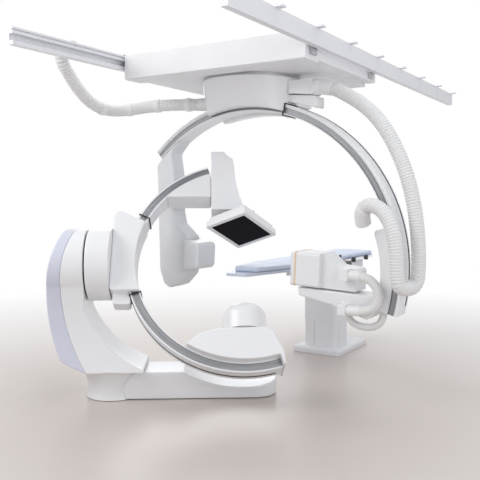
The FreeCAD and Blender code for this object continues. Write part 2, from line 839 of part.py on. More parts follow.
def panel_block(name, inset, low, high):
    # a rounded slab across the beam, which runs along y
    corners = [
        (f"-{half_short} + {inset}", f"-{half_long} + {inset}"),
        (f"{half_short} - {inset}", f"-{half_long} + {inset}"),
        (f"{half_short} - {inset}", f"{half_long} - {inset}"),
        (f"-{half_short} + {inset}", f"{half_long} - {inset}"),
    ]
    slab = prism(name, corners, low, high)
    return corner_round(slab, "detector_step", corners)


# its local z runs along the beam, away from the isocentre
beam_up = turned_frame(vector(1, 0, 0), -90)
rim_slab = panel_block("rim_slab", "0", "detector_distance", "detector_distance + rim_thick")
top_slab = panel_block("top_slab", "detector_step", "detector_distance + rim_thick",
                       "detector_distance + detector_thick")
soften(top_slab, "detector_step - 4", face_edges(top_slab, ["detector_distance + detector_thick"]))
window_room = block("window_room", ("-panel_short / 2", "panel_short / 2"),
                    ("-panel_long / 2", "panel_long / 2"),
                    ("detector_distance - 1", "detector_distance + window_thick"))
spin_room = drum("spin_room", "z", ("0", "0"), "spin_pin_radius + running_gap",
                 f"{spin_floor} - spin_pin_depth",
                 f"{spin_floor} + 1")
detector_raw = fused("detector_raw", rim_slab, top_slab)
detector_cut = cut("detector_cut", detector_raw, window_room, spin_room)
add_node(detector_cut, "frontal_detector_housing", panel * beam_up)


def pane(name, half_x, low_y, high_y, low, high):
    # a flat rectangular plate that fills a window recess, less its seat gap
    corners = [
        (f"-({half_x}) + seat_gap", f"{low_y} + seat_gap"),
        (f"{half_x} - seat_gap", f"{low_y} + seat_gap"),
        (f"{half_x} - seat_gap", f"{high_y} - seat_gap"),
        (f"-({half_x}) + seat_gap", f"{high_y} - seat_gap"),
    ]
    return prism(name, corners, low, high)


window = pane("window", "panel_short / 2", "-panel_long / 2", "panel_long / 2", "detector_distance + 1",
              "detector_distance + window_thick")
add_node(window, "frontal_detector_window", panel * beam_up)

# Frontal tube housing at the bottom of the C-arc, with the tube unit inside
seat_radius = "(ring_inner - seat_gap)"
housing_corners = [
    ("-478", "-762"),
    ("-356", "-660"),
    ("-200", "-tube_top - 4"),
    ("156", "-tube_top"),
    ("222", "-650"),
    ("294", "-820"),
    ("298", "-911"),
    ("-380", "-911"),
]
housing_blank = prism("housing_blank", housing_corners, "-tube_half_depth", "tube_half_depth")
corner_round(housing_blank, "60", housing_corners[1:6])
soften(housing_blank, "16", face_edges(housing_blank, ["tube_half_depth", "-tube_half_depth"]))


def rim_relief(name, radius, first, last, half_width):
    # the space outside a C-arc's inner rim, over part of its sweep
    wedge = turning(name, [
        (radius, f"-{half_width} - 1"),
        (f"{radius} + 200", f"-{half_width} - 1"),
        (f"{radius} + 200", f"{half_width} + 1"),
        (radius, f"{half_width} + 1"),
    ], sweep=f"{last} - ({first})")
    wedge.Placement = turned_frame(upright, number(first))
    return wedge


housing_relief = rim_relief("housing_relief", seat_radius, "210", "ring_last_angle + 0.15", "tube_half_depth")
tube_room = drum("tube_room", "z", ("0", "-tube_unit_distance"), "tube_unit_radius + seat_gap",
                 "-tube_unit_length / 2 - seat_gap", "tube_unit_length / 2 + seat_gap")
port_room = drum("port_room", "y", ("0", "0"), "port_radius", "-tube_unit_distance", "-tube_top + 20")
housing_cut = cut("housing_cut", housing_blank, housing_relief, tube_room, port_room)
add_node(housing_cut, "frontal_tube_housing", ring)


def tube_insert(name, radius, length):
    # stepped can of the X-ray tube, turned about its own length
    return turning(name, [
        ("0", f"-{length} / 2"),
        (f"0.7 * {radius}", f"-{length} / 2"),
        (f"0.7 * {radius}", f"-{length} / 2 + 18"),
        (radius, f"-{length} / 2 + 30"),
        (radius, f"{length} / 2 - 30"),
        (f"0.7 * {radius}", f"{length} / 2 - 18"),
        (f"0.7 * {radius}", f"{length} / 2"),
        ("0", f"{length} / 2"),
    ])


frontal_tube = tube_insert("frontal_tube", "tube_unit_radius", "tube_unit_length")
add_node(frontal_tube, "frontal_xray_tube", ring * shifted(0, -number("tube_unit_distance"), 0))

# Collimator: a turning drum under a domed cover
cover_floor = "-tube_top + seam_gap"
dome_profile = [
    ("dome_radius - dome_wall", cover_floor),
    ("dome_radius", cover_floor),
    ("dome_radius", "-tube_top + 120", "dome_radius - 24", "-dome_top - 38"),
    ("dome_radius - 96", "-dome_top"),
    ("0", "-dome_top + 6"),
    ("0", "-dome_top - dome_wall"),
    ("dome_radius - 98", "-dome_top - dome_wall", "dome_radius - 32", "-dome_top - 44"),
    ("dome_radius - dome_wall", "-tube_top + 120"),
]
dome = turning("dome", dome_profile, "XY_Plane", "V_Axis")
dome_foot = turning("dome_foot", [
    ("port_radius + 20", "-tube_top + seat_gap"),
    ("dome_radius - 24", "-tube_top + seat_gap"),
    ("dome_radius - 24", cover_floor + " + 6"),
    ("dome_radius - 1", cover_floor + " + 6"),
    ("dome_radius - 1", cover_floor + " + 12"),
    ("port_radius + 20", cover_floor + " + 12"),
], "XY_Plane", "V_Axis")
dome_whole = fused("dome_whole", dome, dome_foot)
add_node(dome_whole, "frontal_collimator_cover", ring)
collimator = turning("collimator", [
    ("0", "-tube_top - 22"),
    ("port_radius - running_gap", "-tube_top - 22"),
    ("port_radius - running_gap", cover_floor + " + 12.3"),
    ("collimator_radius", cover_floor + " + 12.3"),
    ("collimator_radius", cover_floor + " + collimator_height"),
    ("0", cover_floor + " + collimator_height"),
], "XY_Plane", "V_Axis")
add_node(collimator, "frontal_collimator", ring)

# Lateral C-arc and the head that carries it
c_arc("lateral_arc", "arc_inner", "arc_outer", "arc_half_width", "lateral_belt_offset",
      "arc_first_angle", "arc_last_angle", lateral)


head_loft = doc.addObject("PartDesign::Body", "head_loft")


def head_section(flat_x, flat_z, reach_x, reach_z, bulge_x, bulge_z, corner):
    # eight arcs: four sides, bulged to the reach, and four corners between them
    section = []
    sides = [(1, 0), (0, 1), (-1, 0), (0, -1)]
    for index, (side_x, side_z) in enumerate(sides):
        next_x, next_z = sides[(index + 1) % 4]
        if side_x:
            start = (f"{side_x} * ({reach_x})", f"{-next_z} * ({flat_z})")
            middle = (f"{side_x} * ({bulge_x})", "0")
            end = (f"{side_x} * ({reach_x})", f"{next_z} * ({flat_z})")
        else:
            start = (f"{-next_x} * ({flat_x})", f"{side_z} * ({reach_z})")
            middle = ("0", f"{side_z} * ({bulge_z})")
            end = (f"{next_x} * ({flat_x})", f"{side_z} * ({reach_z})")
        turn_x, turn_z = side_x + next_x, side_z + next_z
        section.append((*start, *middle))
        section.append((*end, f"{turn_x} * ({corner[0]})", f"{turn_z} * ({corner[1]})"))
    return section


top_reach = "head_top_radius"
circle_corners = head_section(f"{top_reach} * sin(32)", f"{top_reach} * sin(32)", f"{top_reach} * cos(32)",
                              f"{top_reach} * cos(32)", top_reach, top_reach,
                              (f"{top_reach} * cos(45)", f"{top_reach} * sin(45)"))
foot_corners = head_section("head_half_length - 50", "head_half_depth - 50", "head_half_length",
                            "head_half_depth",
                            "head_half_length + 2", "head_half_depth + 2",
                            ("head_half_length - 50 * (1 - cos(45))", "head_half_depth - 50 * (1 - sin(45))"))
head_upper = outline(head_loft, "XZ_Plane", circle_corners, "-head_top")
head_lower = outline(head_loft, "XZ_Plane", foot_corners, "-head_low")
head_skin = head_loft.newObject("PartDesign::AdditiveLoft", "head_skin")
head_skin.Profile = head_upper
head_skin.Sections = [head_lower]
head_skin.Ruled = True
doc.recompute()
head_slot = arc_room("head_slot", "arc_inner", "arc_outer", "arc_half_width", "lateral_belt_offset")
near_hollow = drum("near_hollow", "z", ("0", "0"), "arc_inner + 22", "0", "head_top_radius")
far_hollow = drum("far_hollow", "z", ("0", "0"), "arc_inner - 22", "-head_top_radius", "1")
lateral_pulley_room, lateral_pulley_pin = pulley_rooms("lateral_pulley", "arc_outer", "90",
                                                       "lateral_belt_offset")
kingpin_room = drum("kingpin_room", "y", ("0", "0"), "kingpin_radius + running_gap", "head_top - 60",
                    "head_top + 1")
supply_socket = drum("supply_socket", "x", ("1347", "50"), "supply_hose_radius + socket_wall", "-430", "-340")
supply_socket_room = drum("supply_socket_room", "x", ("1347", "50"), "supply_hose_radius + socket_gap",
                          "-431",
                          "-404")
head_joined = fused("head_joined", head_loft, supply_socket)
head_cut = cut("head_cut", head_joined, supply_socket_room, head_slot, near_hollow, far_hollow,
               lateral_pulley_room, kingpin_room)
add_node(fused("head_whole", head_cut, lateral_pulley_pin), "swivel_head", head)
drive_pulley("lateral_drive_pulley", "arc_outer", "90", "lateral_belt_offset", head)

hose_box_corners = [
    ("395", "1372"),
    ("606", "1350"),
    ("606", "1470"),
    ("395", "1470"),
]
hose_box = prism("hose_box", hose_box_corners, "-60", "100")
corner_round(hose_box, "14", hose_box_corners[1:3])
main_socket = drum("main_socket", "x", ("1408", "50"), "main_hose_radius + socket_wall", "600", "644")
main_socket_room = drum("main_socket_room", "x", ("1408", "50"), "main_hose_radius + socket_gap", "618",
                        "645")
hose_box_whole = fused("hose_box_whole", hose_box, main_socket)
add_node(cut("hose_box_cut", hose_box_whole, main_socket_room, head_loft), "head_hose_box", head)
motor_corners = [
    ("340", "1322"),
    ("620", "1250"),
    ("620", "1340"),
    ("395", "1364"),
    ("340", "1364"),
]
motor_box = prism("motor_box", motor_corners, "-84", "64")
corner_round(motor_box, "16", motor_corners[1:3])
motor_relief = drum("motor_relief", "z", ("0", "0"), "arc_outer + belt_channel", "-200", "200")
add_node(cut("motor_cut", motor_box, motor_relief, head_loft), "head_motor_housing", head)

# Lateral tube casing: hangs from the end of the arc, wide at the collimator
arc_seat = "(arc_inner - seat_gap)"
casing_corners = [
    ("-988", "850"),
    ("-900", "1130"),
    ("-742", "1130"),
    ("-736", "1010"),
    ("-824", "905"),
    ("-766", "600"),
    ("-772", "398"),
    ("-742", "286"),
    ("-604", "176"),
    ("-597", "-150"),
    ("-700", "-262"),
    ("-810", "-300"),
    ("-872", "-262"),
    ("-922", "-139"),
    ("-948", "234"),
]
casing_blank = prism("casing_blank", casing_corners, "-casing_half_width", "casing_half_width")
corner_round(casing_blank, "36", casing_corners[3:5] + casing_corners[6:13])
soften(casing_blank, "casing_round", face_edges(casing_blank, ["casing_half_width", "-casing_half_width"]))
casing_relief = rim_relief("casing_relief", arc_seat, "90", "165", "casing_half_width")
lateral_tube_room = drum("lateral_tube_room", "z", ("-lateral_tube_distance", "0"),
                         "lateral_tube_radius + seat_gap",
                         "-lateral_tube_length / 2 - seat_gap", "lateral_tube_length / 2 + seat_gap")
lateral_port = drum("lateral_port", "x", ("0", "0"), "lateral_port_radius", "-lateral_tube_distance", "-590")
casing_cut = cut("casing_cut", casing_blank, casing_relief, lateral_tube_room, lateral_port)
add_node(casing_cut, "lateral_tube_casing", lateral)
lateral_tube = tube_insert("lateral_tube", "lateral_tube_radius", "lateral_tube_length")
add_node(lateral_tube, "lateral_xray_tube", lateral * shifted(-number("lateral_tube_distance"), 0, 0))

# Collimator hood: straddles the casing's lower front
hood_corners = [
    ("-624", "-120"),
    ("-488", "-96"),
    ("-462", "-70"),
    ("-462", "108"),
    ("-488", "134"),
    ("-624", "158"),
]
hood_blank = prism("hood_blank", hood_corners, "-lateral_collimator_half_width",
                   "lateral_collimator_half_width")
soften(hood_blank, "20", face_edges(hood_blank, ["lateral_collimator_half_width",
                                                 "-lateral_collimator_half_width"]))
hood_slot = block("hood_slot", ("-700", "-597 + seat_gap"), ("-300", "300"),
                  ("-casing_half_width - seat_gap", "casing_half_width + seat_gap"))
hood_port = drum("hood_port", "x", ("0", "0"), "lateral_port_radius", "-600", "-480")
add_node(cut("hood_cut", hood_blank, hood_slot, hood_port), "lateral_collimator", lateral)

# End housing, slide base and lateral detector
end_corners = [
    (*polar("end_housing_inner", "-12.5"), *polar("end_housing_inner", "-7")),
    (*polar("end_housing_inner", "-1"), *polar("end_housing_inner - 4", "8")),
    polar("end_housing_inner - 22", "17.5"),
    polar("arc_inner + 60", "17.5"),
    polar("arc_inner + 60", "-12.5"),
]
end_blank = prism("end_blank", end_corners, "-arc_half_width", "arc_half_width")
corner_round(end_blank, "30", end_corners[2:3])
soften(end_blank, "end_housing_round", face_edges(end_blank, ["arc_half_width", "-arc_half_width"]))
end_relief = rim_relief("end_relief", arc_seat, "-20", "30", "arc_half_width")
end_bore = drum("end_bore", "y", ("1196", "50"), "lower_hose_radius + socket_gap", "-330", "-246")
add_node(cut("end_cut", end_blank, end_relief, end_bore), "lateral_end_housing", lateral)

base_corners = [
    ("497", "-slide_line"),
    ("1176", "-slide_line"),
    ("1160", "-262"),
    ("1088", "-328"),
    ("790", "-252"),
    ("506", "-206"),
]
base_blank = prism("base_blank", base_corners, "-slide_base_half_width", "slide_base_half_width")
corner_round(base_blank, "18", base_corners[2:4] + base_corners[5:])
soften(base_blank, "14", face_edges(base_blank, ["slide_base_half_width", "-slide_base_half_width"]))
base_seat = drum("base_seat", "z", ("0", "0"), "end_housing_inner", "-lateral_panel_depth",
                 "lateral_panel_depth")
base_inner = common("base_inner", base_blank, base_seat)
lower_boss = socket_boss("lower_boss", "880", "948", "-262", "slide_base_half_width", "loop_hose_radius")
base_bore = drum("base_bore", "y", ("905", "50"), "lower_hose_radius + socket_gap", "-330", "-262")
base_joined = fused("base_joined", base_inner, lower_boss)
add_node(cut("base_whole", base_joined, base_bore), "lateral_slide_base", lateral)

front_low = "(-lateral_panel_half + 6)"
front_high = "(lateral_panel_half + 12)"
panel_corners = [
    ("-lateral_panel_depth", front_low),
    ("lateral_panel_depth", front_low),
    ("lateral_panel_depth", front_high),
    ("-lateral_panel_depth", front_high),
]


def lateral_slab(name, spread, low, high):
    # a rounded slab across the lateral beam; its outline lies in the plane of z and y
    corners = [
        (f"-lateral_panel_depth - {spread}", f"{front_low} - {spread}"),
        (f"lateral_panel_depth + {spread}", f"{front_low} - {spread}"),
        (f"lateral_panel_depth + {spread}", f"{front_high} + {spread}"),
        (f"-lateral_panel_depth - {spread}", f"{front_high} + {spread}"),
    ]
    slab = prism(name, corners, low, high)
    return corner_round(slab, "22", corners)


# local z of the slabs runs along the lateral beam, and their y is the arm's y
across_beam = FreeCAD.Placement(vector(), FreeCAD.Rotation(vector(0, 1, 0), 90))
front_slab = lateral_slab("front_slab", "0", "lateral_face", "lateral_face + 245")
gasket_low = "lateral_face + gasket_offset"
gasket_high = "lateral_face + gasket_offset + gasket_width"
gasket_outer = lateral_slab("gasket_outer", "gasket_proud", gasket_low, gasket_high)
gasket_inner = lateral_slab("gasket_inner", "(-4)", gasket_low, gasket_high)
groove_outer = lateral_slab("groove_outer", "5", gasket_low, gasket_high)
groove_inner = lateral_slab("groove_inner", "(-4 - seat_gap)", gasket_low, gasket_high)
gasket_groove = cut("gasket_groove", groove_outer, groove_inner)
slab_window = block("slab_window", ("-110", "110"), ("-110 + 6", "110 + 6"),
                    ("lateral_face - 1", "lateral_face + 4"))
front_cut = cut("front_cut", front_slab, gasket_groove, slab_window)
add_node(cut("gasket_ring", gasket_outer, gasket_inner), "lateral_detector_gasket", lateral * across_beam)
lateral_window = pane("lateral_window", "110", "-104", "116", "lateral_face + 0.5", "lateral_face + 4")
add_node(lateral_window, "lateral_detector_window", lateral * across_beam)
rear_corners = [
    ("lateral_face + 230", front_low),
    ("985", front_low),
    ("985", "46"),
    ("820", "54"),
    ("720", "136"),
    ("lateral_face + 230", "140"),
]
rear_block = prism("rear_block", rear_corners, "-slide_base_half_width + 6", "slide_base_half_width - 6")
corner_round(rear_block, "30", rear_corners[2:5])
front_cut.Placement = across_beam
runner = prism("runner", [
    ("560", "-slide_line + seat_gap"),
    ("960", "-slide_line + seat_gap"),
    ("960", f"{front_low} + 1"),
    ("560", f"{front_low} + 1"),
], "-60", "60")
upper_boss = socket_boss("upper_boss", "880", "948", "6", "slide_base_half_width - 6", "loop_hose_radius")
add_node(fused("lateral_housing_whole", front_cut, rear_block, runner, upper_boss),
         "lateral_detector_housing",
         lateral)

# Ceiling rails: channels with a wheel track, and the tabs that bolt them up
track_floor = "rail_low + track_low"


def ceiling_rail(name, side):
    web = "(rail_face + rail_thick)"
    channel = prism(name + "_channel", [
        (f"{side} * rail_face", "rail_low"),
        (f"{side} * {web}", "rail_low"),
        (f"{side} * {web}", "rail_low + rail_height"),
        (f"{side} * rail_face", "rail_low + rail_height"),
        (f"{side} * rail_face", "rail_low + rail_height - 14"),
        (f"{side} * (rail_face + 12)", "rail_low + rail_height - 14"),
        (f"{side} * (rail_face + 12)", "rail_low + rail_height - 26"),
        (f"{side} * rail_face", "rail_low + rail_height - 26"),
        (f"{side} * rail_face", f"{track_floor} + track_height"),
        (f"{side} * (rail_face + track_depth)", f"{track_floor} + track_height"),
        (f"{side} * (rail_face + track_depth)", track_floor),
        (f"{side} * rail_face", track_floor),
    ], "-rail_far", "-rail_near", "XZ_Plane")
    low, high = sorted((side, 2 * side))
    tabs = []
    holes = []
    for count in range(-3, 5):
        middle = f"tab_first + {count} * tab_pitch"
        inner, outer = f"{side} * (rail_face + 4)", f"{side} * ({web} + tab_reach)"
        span = (inner, outer) if side > 0 else (outer, inner)
        tabs.append(block(f"{name}_tab{count + 3}", span,
                          (f"{middle} - tab_length / 2", f"{middle} + tab_length / 2"),
                          ("rail_low + rail_height", "rail_low + rail_height + tab_thick")))
        holes.append(drum(f"{name}_hole{count + 3}", "z", (f"{side} * ({web} + tab_reach / 2)", middle),
                          "tab_hole_radius", "rail_low", "rail_low + rail_height + 2 * tab_thick"))
    rail = cut(name + "_drilled", fused(name + "_tabbed", channel, *tabs), *holes)
    add_node(rail, name, world)


ceiling_rail("left_ceiling_rail", -1)
ceiling_rail("right_ceiling_rail", 1)

# Ceiling carriage: front beam, side members, bed plate with the kingpin
beam_corners = [
    ("beam_front", "beam_low"),
    ("beam_back", "beam_low"),
    ("beam_back", "beam_low + 70"),
    ("beam_back - 60", "beam_top"),
    ("beam_front + 6", "beam_top"),
]
beam_clear = "(rail_face - 26)"
front_beam = prism("front_beam", beam_corners, f"-{beam_clear}", beam_clear, "YZ_Plane")
left_member = block("left_member", (f"-{beam_clear}", f"-{beam_clear} + side_member"),
                    ("beam_back - 1", "frame_end"), ("frame_low", "frame_high + 30"))
right_member = block("right_member", (f"{beam_clear} - side_member", beam_clear),
                     ("beam_back - 1", "frame_end"), ("frame_low", "frame_high + 30"))
bed = block("bed", (f"-{beam_clear} + side_member - 1", f"{beam_clear} - side_member + 1"),
            ("beam_back - 1", "rear_beam_front - seam_gap"), ("frame_low", "frame_high"))
kingpin = drum("kingpin", "z", ("0", "lateral_plane"), "kingpin_radius", "iso_height + head_top - 58",
               "frame_low + 1")
front_nose = block("front_nose", (f"-{beam_clear}", beam_clear), ("beam_front + 12", "beam_back - 12"),
                   ("beam_low - 6", "beam_low + 1"))
add_node(fused("frame_whole", front_beam, left_member, right_member, bed, kingpin, front_nose),
         "carriage_frame", world)
turntable = turning("turntable", [
    ("kingpin_radius + 2", "iso_height + head_top + 0.1"),
    ("turntable_radius", "iso_height + head_top + 0.1"),
    ("turntable_radius", "frame_low"),
    ("kingpin_radius + 2", "frame_low"),
])
add_node(turntable, "head_swivel_bearing", shifted(0, number("lateral_plane"), 0))

rear_beam = block("rear_beam", (f"-{beam_clear} + side_member + seat_gap",
                                f"{beam_clear} - side_member - seat_gap"),
                  ("rear_beam_front", "rear_beam_back"), ("frame_low + 4", "rear_beam_high"))
rear_holes = [drum(f"rear_hole{count}", "y", (f"240 + 110 * {count}", "frame_low + 40"), "6",
                   "rear_beam_front - 1", "rear_beam_back + 1") for count in range(4)]
add_node(cut("rear_beam_cut", rear_beam, *rear_holes), "carriage_rear_beam", world)
drive_box_corners = [
    ("520", "560"),
    (f"{beam_clear} - side_member - seat_gap", "560"),
    (f"{beam_clear} - side_member - seat_gap", "800"),
    ("520", "800"),
]
drive_box = prism("drive_box", drive_box_corners, "frame_low - 30", "frame_high + 20")
corner_round(drive_box, "12", drive_box_corners)
add_node(drive_box, "travel_drive_box", world)

wheel_height = f"{track_floor} + wheel_radius + seat_gap"


def truck(name, side, line):
    # arm that carries one wheel's pin into the rail's track
    inner = f"{side} * {beam_clear}"
    outer = f"{side} * (rail_face - 6)"
    span = (inner, outer) if side > 0 else (outer, inner)
    plate = block(name + "_plate", span, (f"{line} - 45", f"{line} + 45"),
                  ("frame_low + 20", f"{wheel_height} + 18"))
    pin_ends = ("rail_face - 8", "rail_face + track_depth - 4")
    low, high = pin_ends if side > 0 else (f"-({pin_ends[1]})", f"-({pin_ends[0]})")
    pin = drum(name + "_pin", "x", (line, wheel_height), "wheel_pin_radius", low, high)
    return [plate, pin]


truck_pieces = []
for side, side_name in ((-1, "left"), (1, "right")):
    for line, line_name in (("front_wheel_line", "front"), ("rear_wheel_line", "rear")):
        truck_pieces += truck(f"{line_name}_{side_name}_truck", side, line)
add_node(fused("trucks", *truck_pieces), "carriage_roller_trucks", world)


def wheel_pair(name, line):
    # the two wheels that share one axis line
    wheels = []
    for side in (-1, 1):
        low, high = ("(rail_face + 4)", "(rail_face + 4 + wheel_width)")
        if side < 0:
            low, high = f"-{high}", f"-{low}"
        disc = drum(f"{name}_disc{side + 1}", "x", (line, wheel_height), "wheel_radius", low, high)
        bore = drum(f"{name}_bore{side + 1}", "x", (line, wheel_height), "wheel_pin_radius + running_gap",
                    f"{low} - 1", f"{high} + 1")
        wheels.append(cut(f"{name}_wheel{side + 1}", disc, bore))
    add_node(fused(name + "_both", *wheels), name, world)


wheel_pair("front_wheels", "front_wheel_line")
wheel_pair("rear_wheels", "rear_wheel_line")


# Patient table: plinth and telescopic column
def table_slab(name, half_x, half_y, low, high, radius):
    corners = [
        (f"table_centre - ({half_x})", f"table_column_line - ({half_y})"),
        (f"table_centre + {half_x}", f"table_column_line - ({half_y})"),
        (f"table_centre + {half_x}", f"table_column_line + {half_y}"),
        (f"table_centre - ({half_x})", f"table_column_line + {half_y}"),
    ]
    slab = prism(name, corners, low, high)
    return corner_round(slab, radius, corners)


plinth_corners = [
    ("table_centre - plinth_half_width", "plinth_line - plinth_half_length"),
    ("table_centre + plinth_half_width", "plinth_line - plinth_half_length"),
    ("table_centre + plinth_half_width", "plinth_line + plinth_half_length"),
    ("table_centre - plinth_half_width", "plinth_line + plinth_half_length"),
]
plinth_blank = prism("plinth_blank", plinth_corners, "0", "plinth_thick")
corner_round(plinth_blank, "40", plinth_corners)
soften(plinth_blank, "plinth_bevel", face_edges(plinth_blank, ["plinth_thick"]))
plinth_bolts = []
for side_x in (-1, 1):
    for side_y in (-1, 1):
        across = (f"table_centre + {side_x} * plinth_bolt_half_x",
                  f"plinth_line + {side_y} * plinth_bolt_half_y")
        plinth_bolts.append(drum(f"plinth_bolt{side_x + 1}{side_y + 1}", "z", across, "plinth_bolt_radius",
                                 "-1",
                                 "plinth_thick + 1"))
add_node(cut("plinth_drilled", plinth_blank, *plinth_bolts), "table_plinth", world)
lower_shroud = table_slab("lower_shroud", "shroud_half_width", "shroud_half_length", "plinth_thick",
                          "lower_shroud_top", "shroud_round")
add_node(lower_shroud, "table_lower_shroud", world)
skirt_outer = table_slab("skirt_outer", "shroud_half_width + shroud_wall + seat_gap",
                         "shroud_half_length + shroud_wall + seat_gap", "skirt_low", "skirt_top",
                         "shroud_round + shroud_wall")
skirt_room = table_slab("skirt_room", "shroud_half_width + seat_gap", "shroud_half_length + seat_gap",
                        "skirt_low - 1", "skirt_low + 260", "shroud_round")
skirt_cap = block("skirt_cap", ("table_centre - shroud_half_width - 20",
                                "table_centre + shroud_half_width + 20"),
                  ("table_column_line - 330", "table_column_line + 420"), ("skirt_top - 40", "skirt_top"))
skirt_cut = cut("skirt_cut", skirt_outer, skirt_room)
add_node(fused("skirt_whole", skirt_cut, skirt_cap), "table_upper_shroud", world)

frame_corners = [
    ("table_line - slide_frame_half_width", "slide_frame_near"),
    ("table_line + slide_frame_half_width", "slide_frame_near"),
    ("table_line + slide_frame_half_width", "slide_frame_far"),
    ("table_line - slide_frame_half_width", "slide_frame_far"),
]
slide_frame = prism("slide_frame", frame_corners, "skirt_top + seat_gap", "slide_frame_top")
corner_round(slide_frame, "30", frame_corners)
guide_slots = []
for side in (-1, 1):
    middle = f"(table_line + {side} * guide_offset)"
    guide_slots.append(block(f"guide_slot{side + 1}", (f"{middle} - guide_half_width - seat_gap",
                                                      f"{middle} + guide_half_width + seat_gap"),
                             ("slide_frame_near - 1", "slide_frame_far + 1"),
                             ("slide_frame_top - 24", "slide_frame_top + 1")))
add_node(cut("slide_frame_cut", slide_frame, *guide_slots), "table_slide_frame", world)

# Tabletop: tapered board on two guides, mattress, side rails and controls
board_corners = [
    ("table_line - board_tip_half", "board_near"),
    ("table_line + board_tip_half", "board_near"),
    ("table_line + board_first_half", "board_near + board_first_run"),
    ("table_line + board_half_width", "board_near + board_second_run"),
    ("table_line + board_half_width", "board_far"),
    ("table_line - board_half_width", "board_far"),
    ("table_line - board_half_width", "board_near + board_second_run"),
    ("table_line - board_first_half", "board_near + board_first_run"),
]
board_blank = prism("board_blank", board_corners, "board_low", "board_low + board_thick")
corner_round(board_blank, "36", board_corners[:2])
corner_round(board_blank, "40", board_corners[4:6])
guides = []
for side in (-1, 1):
    middle = f"(table_line + {side} * guide_offset)"
    guides.append(block(f"guide{side + 1}", (f"{middle} - guide_half_width", f"{middle} + guide_half_width"),
                        ("slide_frame_near - 20", "board_far - 60"),
                        ("slide_frame_top - 23.7", "board_low + 1")))
add_node(fused("tabletop_whole", board_blank, *guides), "tabletop", world)
mattress_corners = [
    ("table_line - board_tip_half - 10", "mattress_near"),
    ("table_line + board_tip_half + 10", "mattress_near"),
    ("table_line + board_first_half - mattress_inset", "board_near + board_first_run"),
    ("table_line + board_half_width - mattress_inset", "board_near + board_second_run"),
    ("table_line + board_half_width - mattress_inset", "board_far - mattress_inset"),
    ("table_line - board_half_width + mattress_inset", "board_far - mattress_inset"),
    ("table_line - board_half_width + mattress_inset", "board_near + board_second_run"),
    ("table_line - board_first_half + mattress_inset", "board_near + board_first_run"),
]
mattress = prism("mattress_pad", mattress_corners, "board_low + board_thick + seat_gap",
                 "board_low + board_thick + mattress_thick")
corner_round(mattress, "30", [mattress_corners[index] for index in (0, 1, 4, 5)])
soften(mattress, "10", face_edges(mattress, ["board_low + board_thick + mattress_thick"]))
add_node(mattress, "mattress", world)

bar_low = "board_low - 2"
bar_high = "board_low - 2 + rail_bar_height"
rail_pieces = []
for side in (-1, 1):
    faces = ("board_half_width + 22", "board_half_width + 22 + rail_bar_thick")
    span = tuple(f"table_line + {side} * ({face})" for face in (faces if side > 0 else faces[::-1]))
    rail_pieces.append(block(f"side_bar{side + 1}", span, ("rail_bar_near", "rail_bar_far"),
                             (bar_low, bar_high)))
    for count in range(4):
        middle = f"rail_bar_near + 90 + {count} * (rail_bar_far - rail_bar_near - 180) / 3"
        ends = ("board_half_width", "board_half_width + 23")
        reach = tuple(f"table_line + {side} * ({end})" for end in (ends if side > 0 else ends[::-1]))
        rail_pieces.append(drum(f"standoff{side + 1}{count}", "x", (middle, "board_low + 12"), "8", *reach))
add_node(fused("side_rails", *rail_pieces), "accessory_rails", world)

control_left = "(table_line + board_half_width + 22 + rail_bar_thick + seat_gap)"
control_corners = [
    (control_left, "control_near"),
    (f"{control_left} + control_width", "control_near"),
    (f"{control_left} + control_width", "control_near + control_length"),
    (control_left, "control_near + control_length"),
]
control_top = "board_low + 30"
control_box = prism("control_box_pad", control_corners, f"{control_top} - control_height", control_top)
corner_round(control_box, "16", control_corners[1:3])
soften(control_box, "6", face_edges(control_box, [control_top]))
stick_across = (f"{control_left} + control_width / 2", "control_near + 70")
stick_well = drum("stick_well", "z", stick_across, "joystick_radius + 6", f"{control_top} - 22",
                  f"{control_top} + 1")
button_across = (f"{control_left} + control_width / 2", "control_near + 160")
button_well = drum("button_well", "z", button_across, "joystick_radius + running_gap", f"{control_top} - 18",
                   f"{control_top} + 1")
add_node(cut("control_cut", control_box, stick_well, button_well), "control_box", world)
stick_ball = "(0.5 * joystick_radius)"
joystick = turning("joystick_profile", [
    ("0", f"-{stick_ball}", f"{stick_ball} * sin(45)", f"-{stick_ball} * cos(45)"),
    (stick_ball, "0"),
    (stick_ball, "58"),
    ("joystick_radius - 3", "60"),
    ("joystick_radius", "64"),
    ("joystick_radius", "76"),
    ("joystick_radius - 4", "81"),
    ("0", "82"),
])
stick_height = f"{control_top} - 22 + {stick_ball} + seat_gap"
stick_spot = shifted(number(stick_across[0]), number(stick_across[1]), number(stick_height))
add_node(joystick, "control_joystick", stick_spot)
stop_stem = drum("stop_stem", "z", button_across, "joystick_radius", f"{control_top} - 9",
                 f"{control_top} + 4")
stop_cap = drum("stop_cap", "z", button_across, "joystick_radius - 1", f"{control_top} + 3",
                f"{control_top} + 9")
add_node(fused("stop_whole", stop_stem, stop_cap), "stop_button", world)

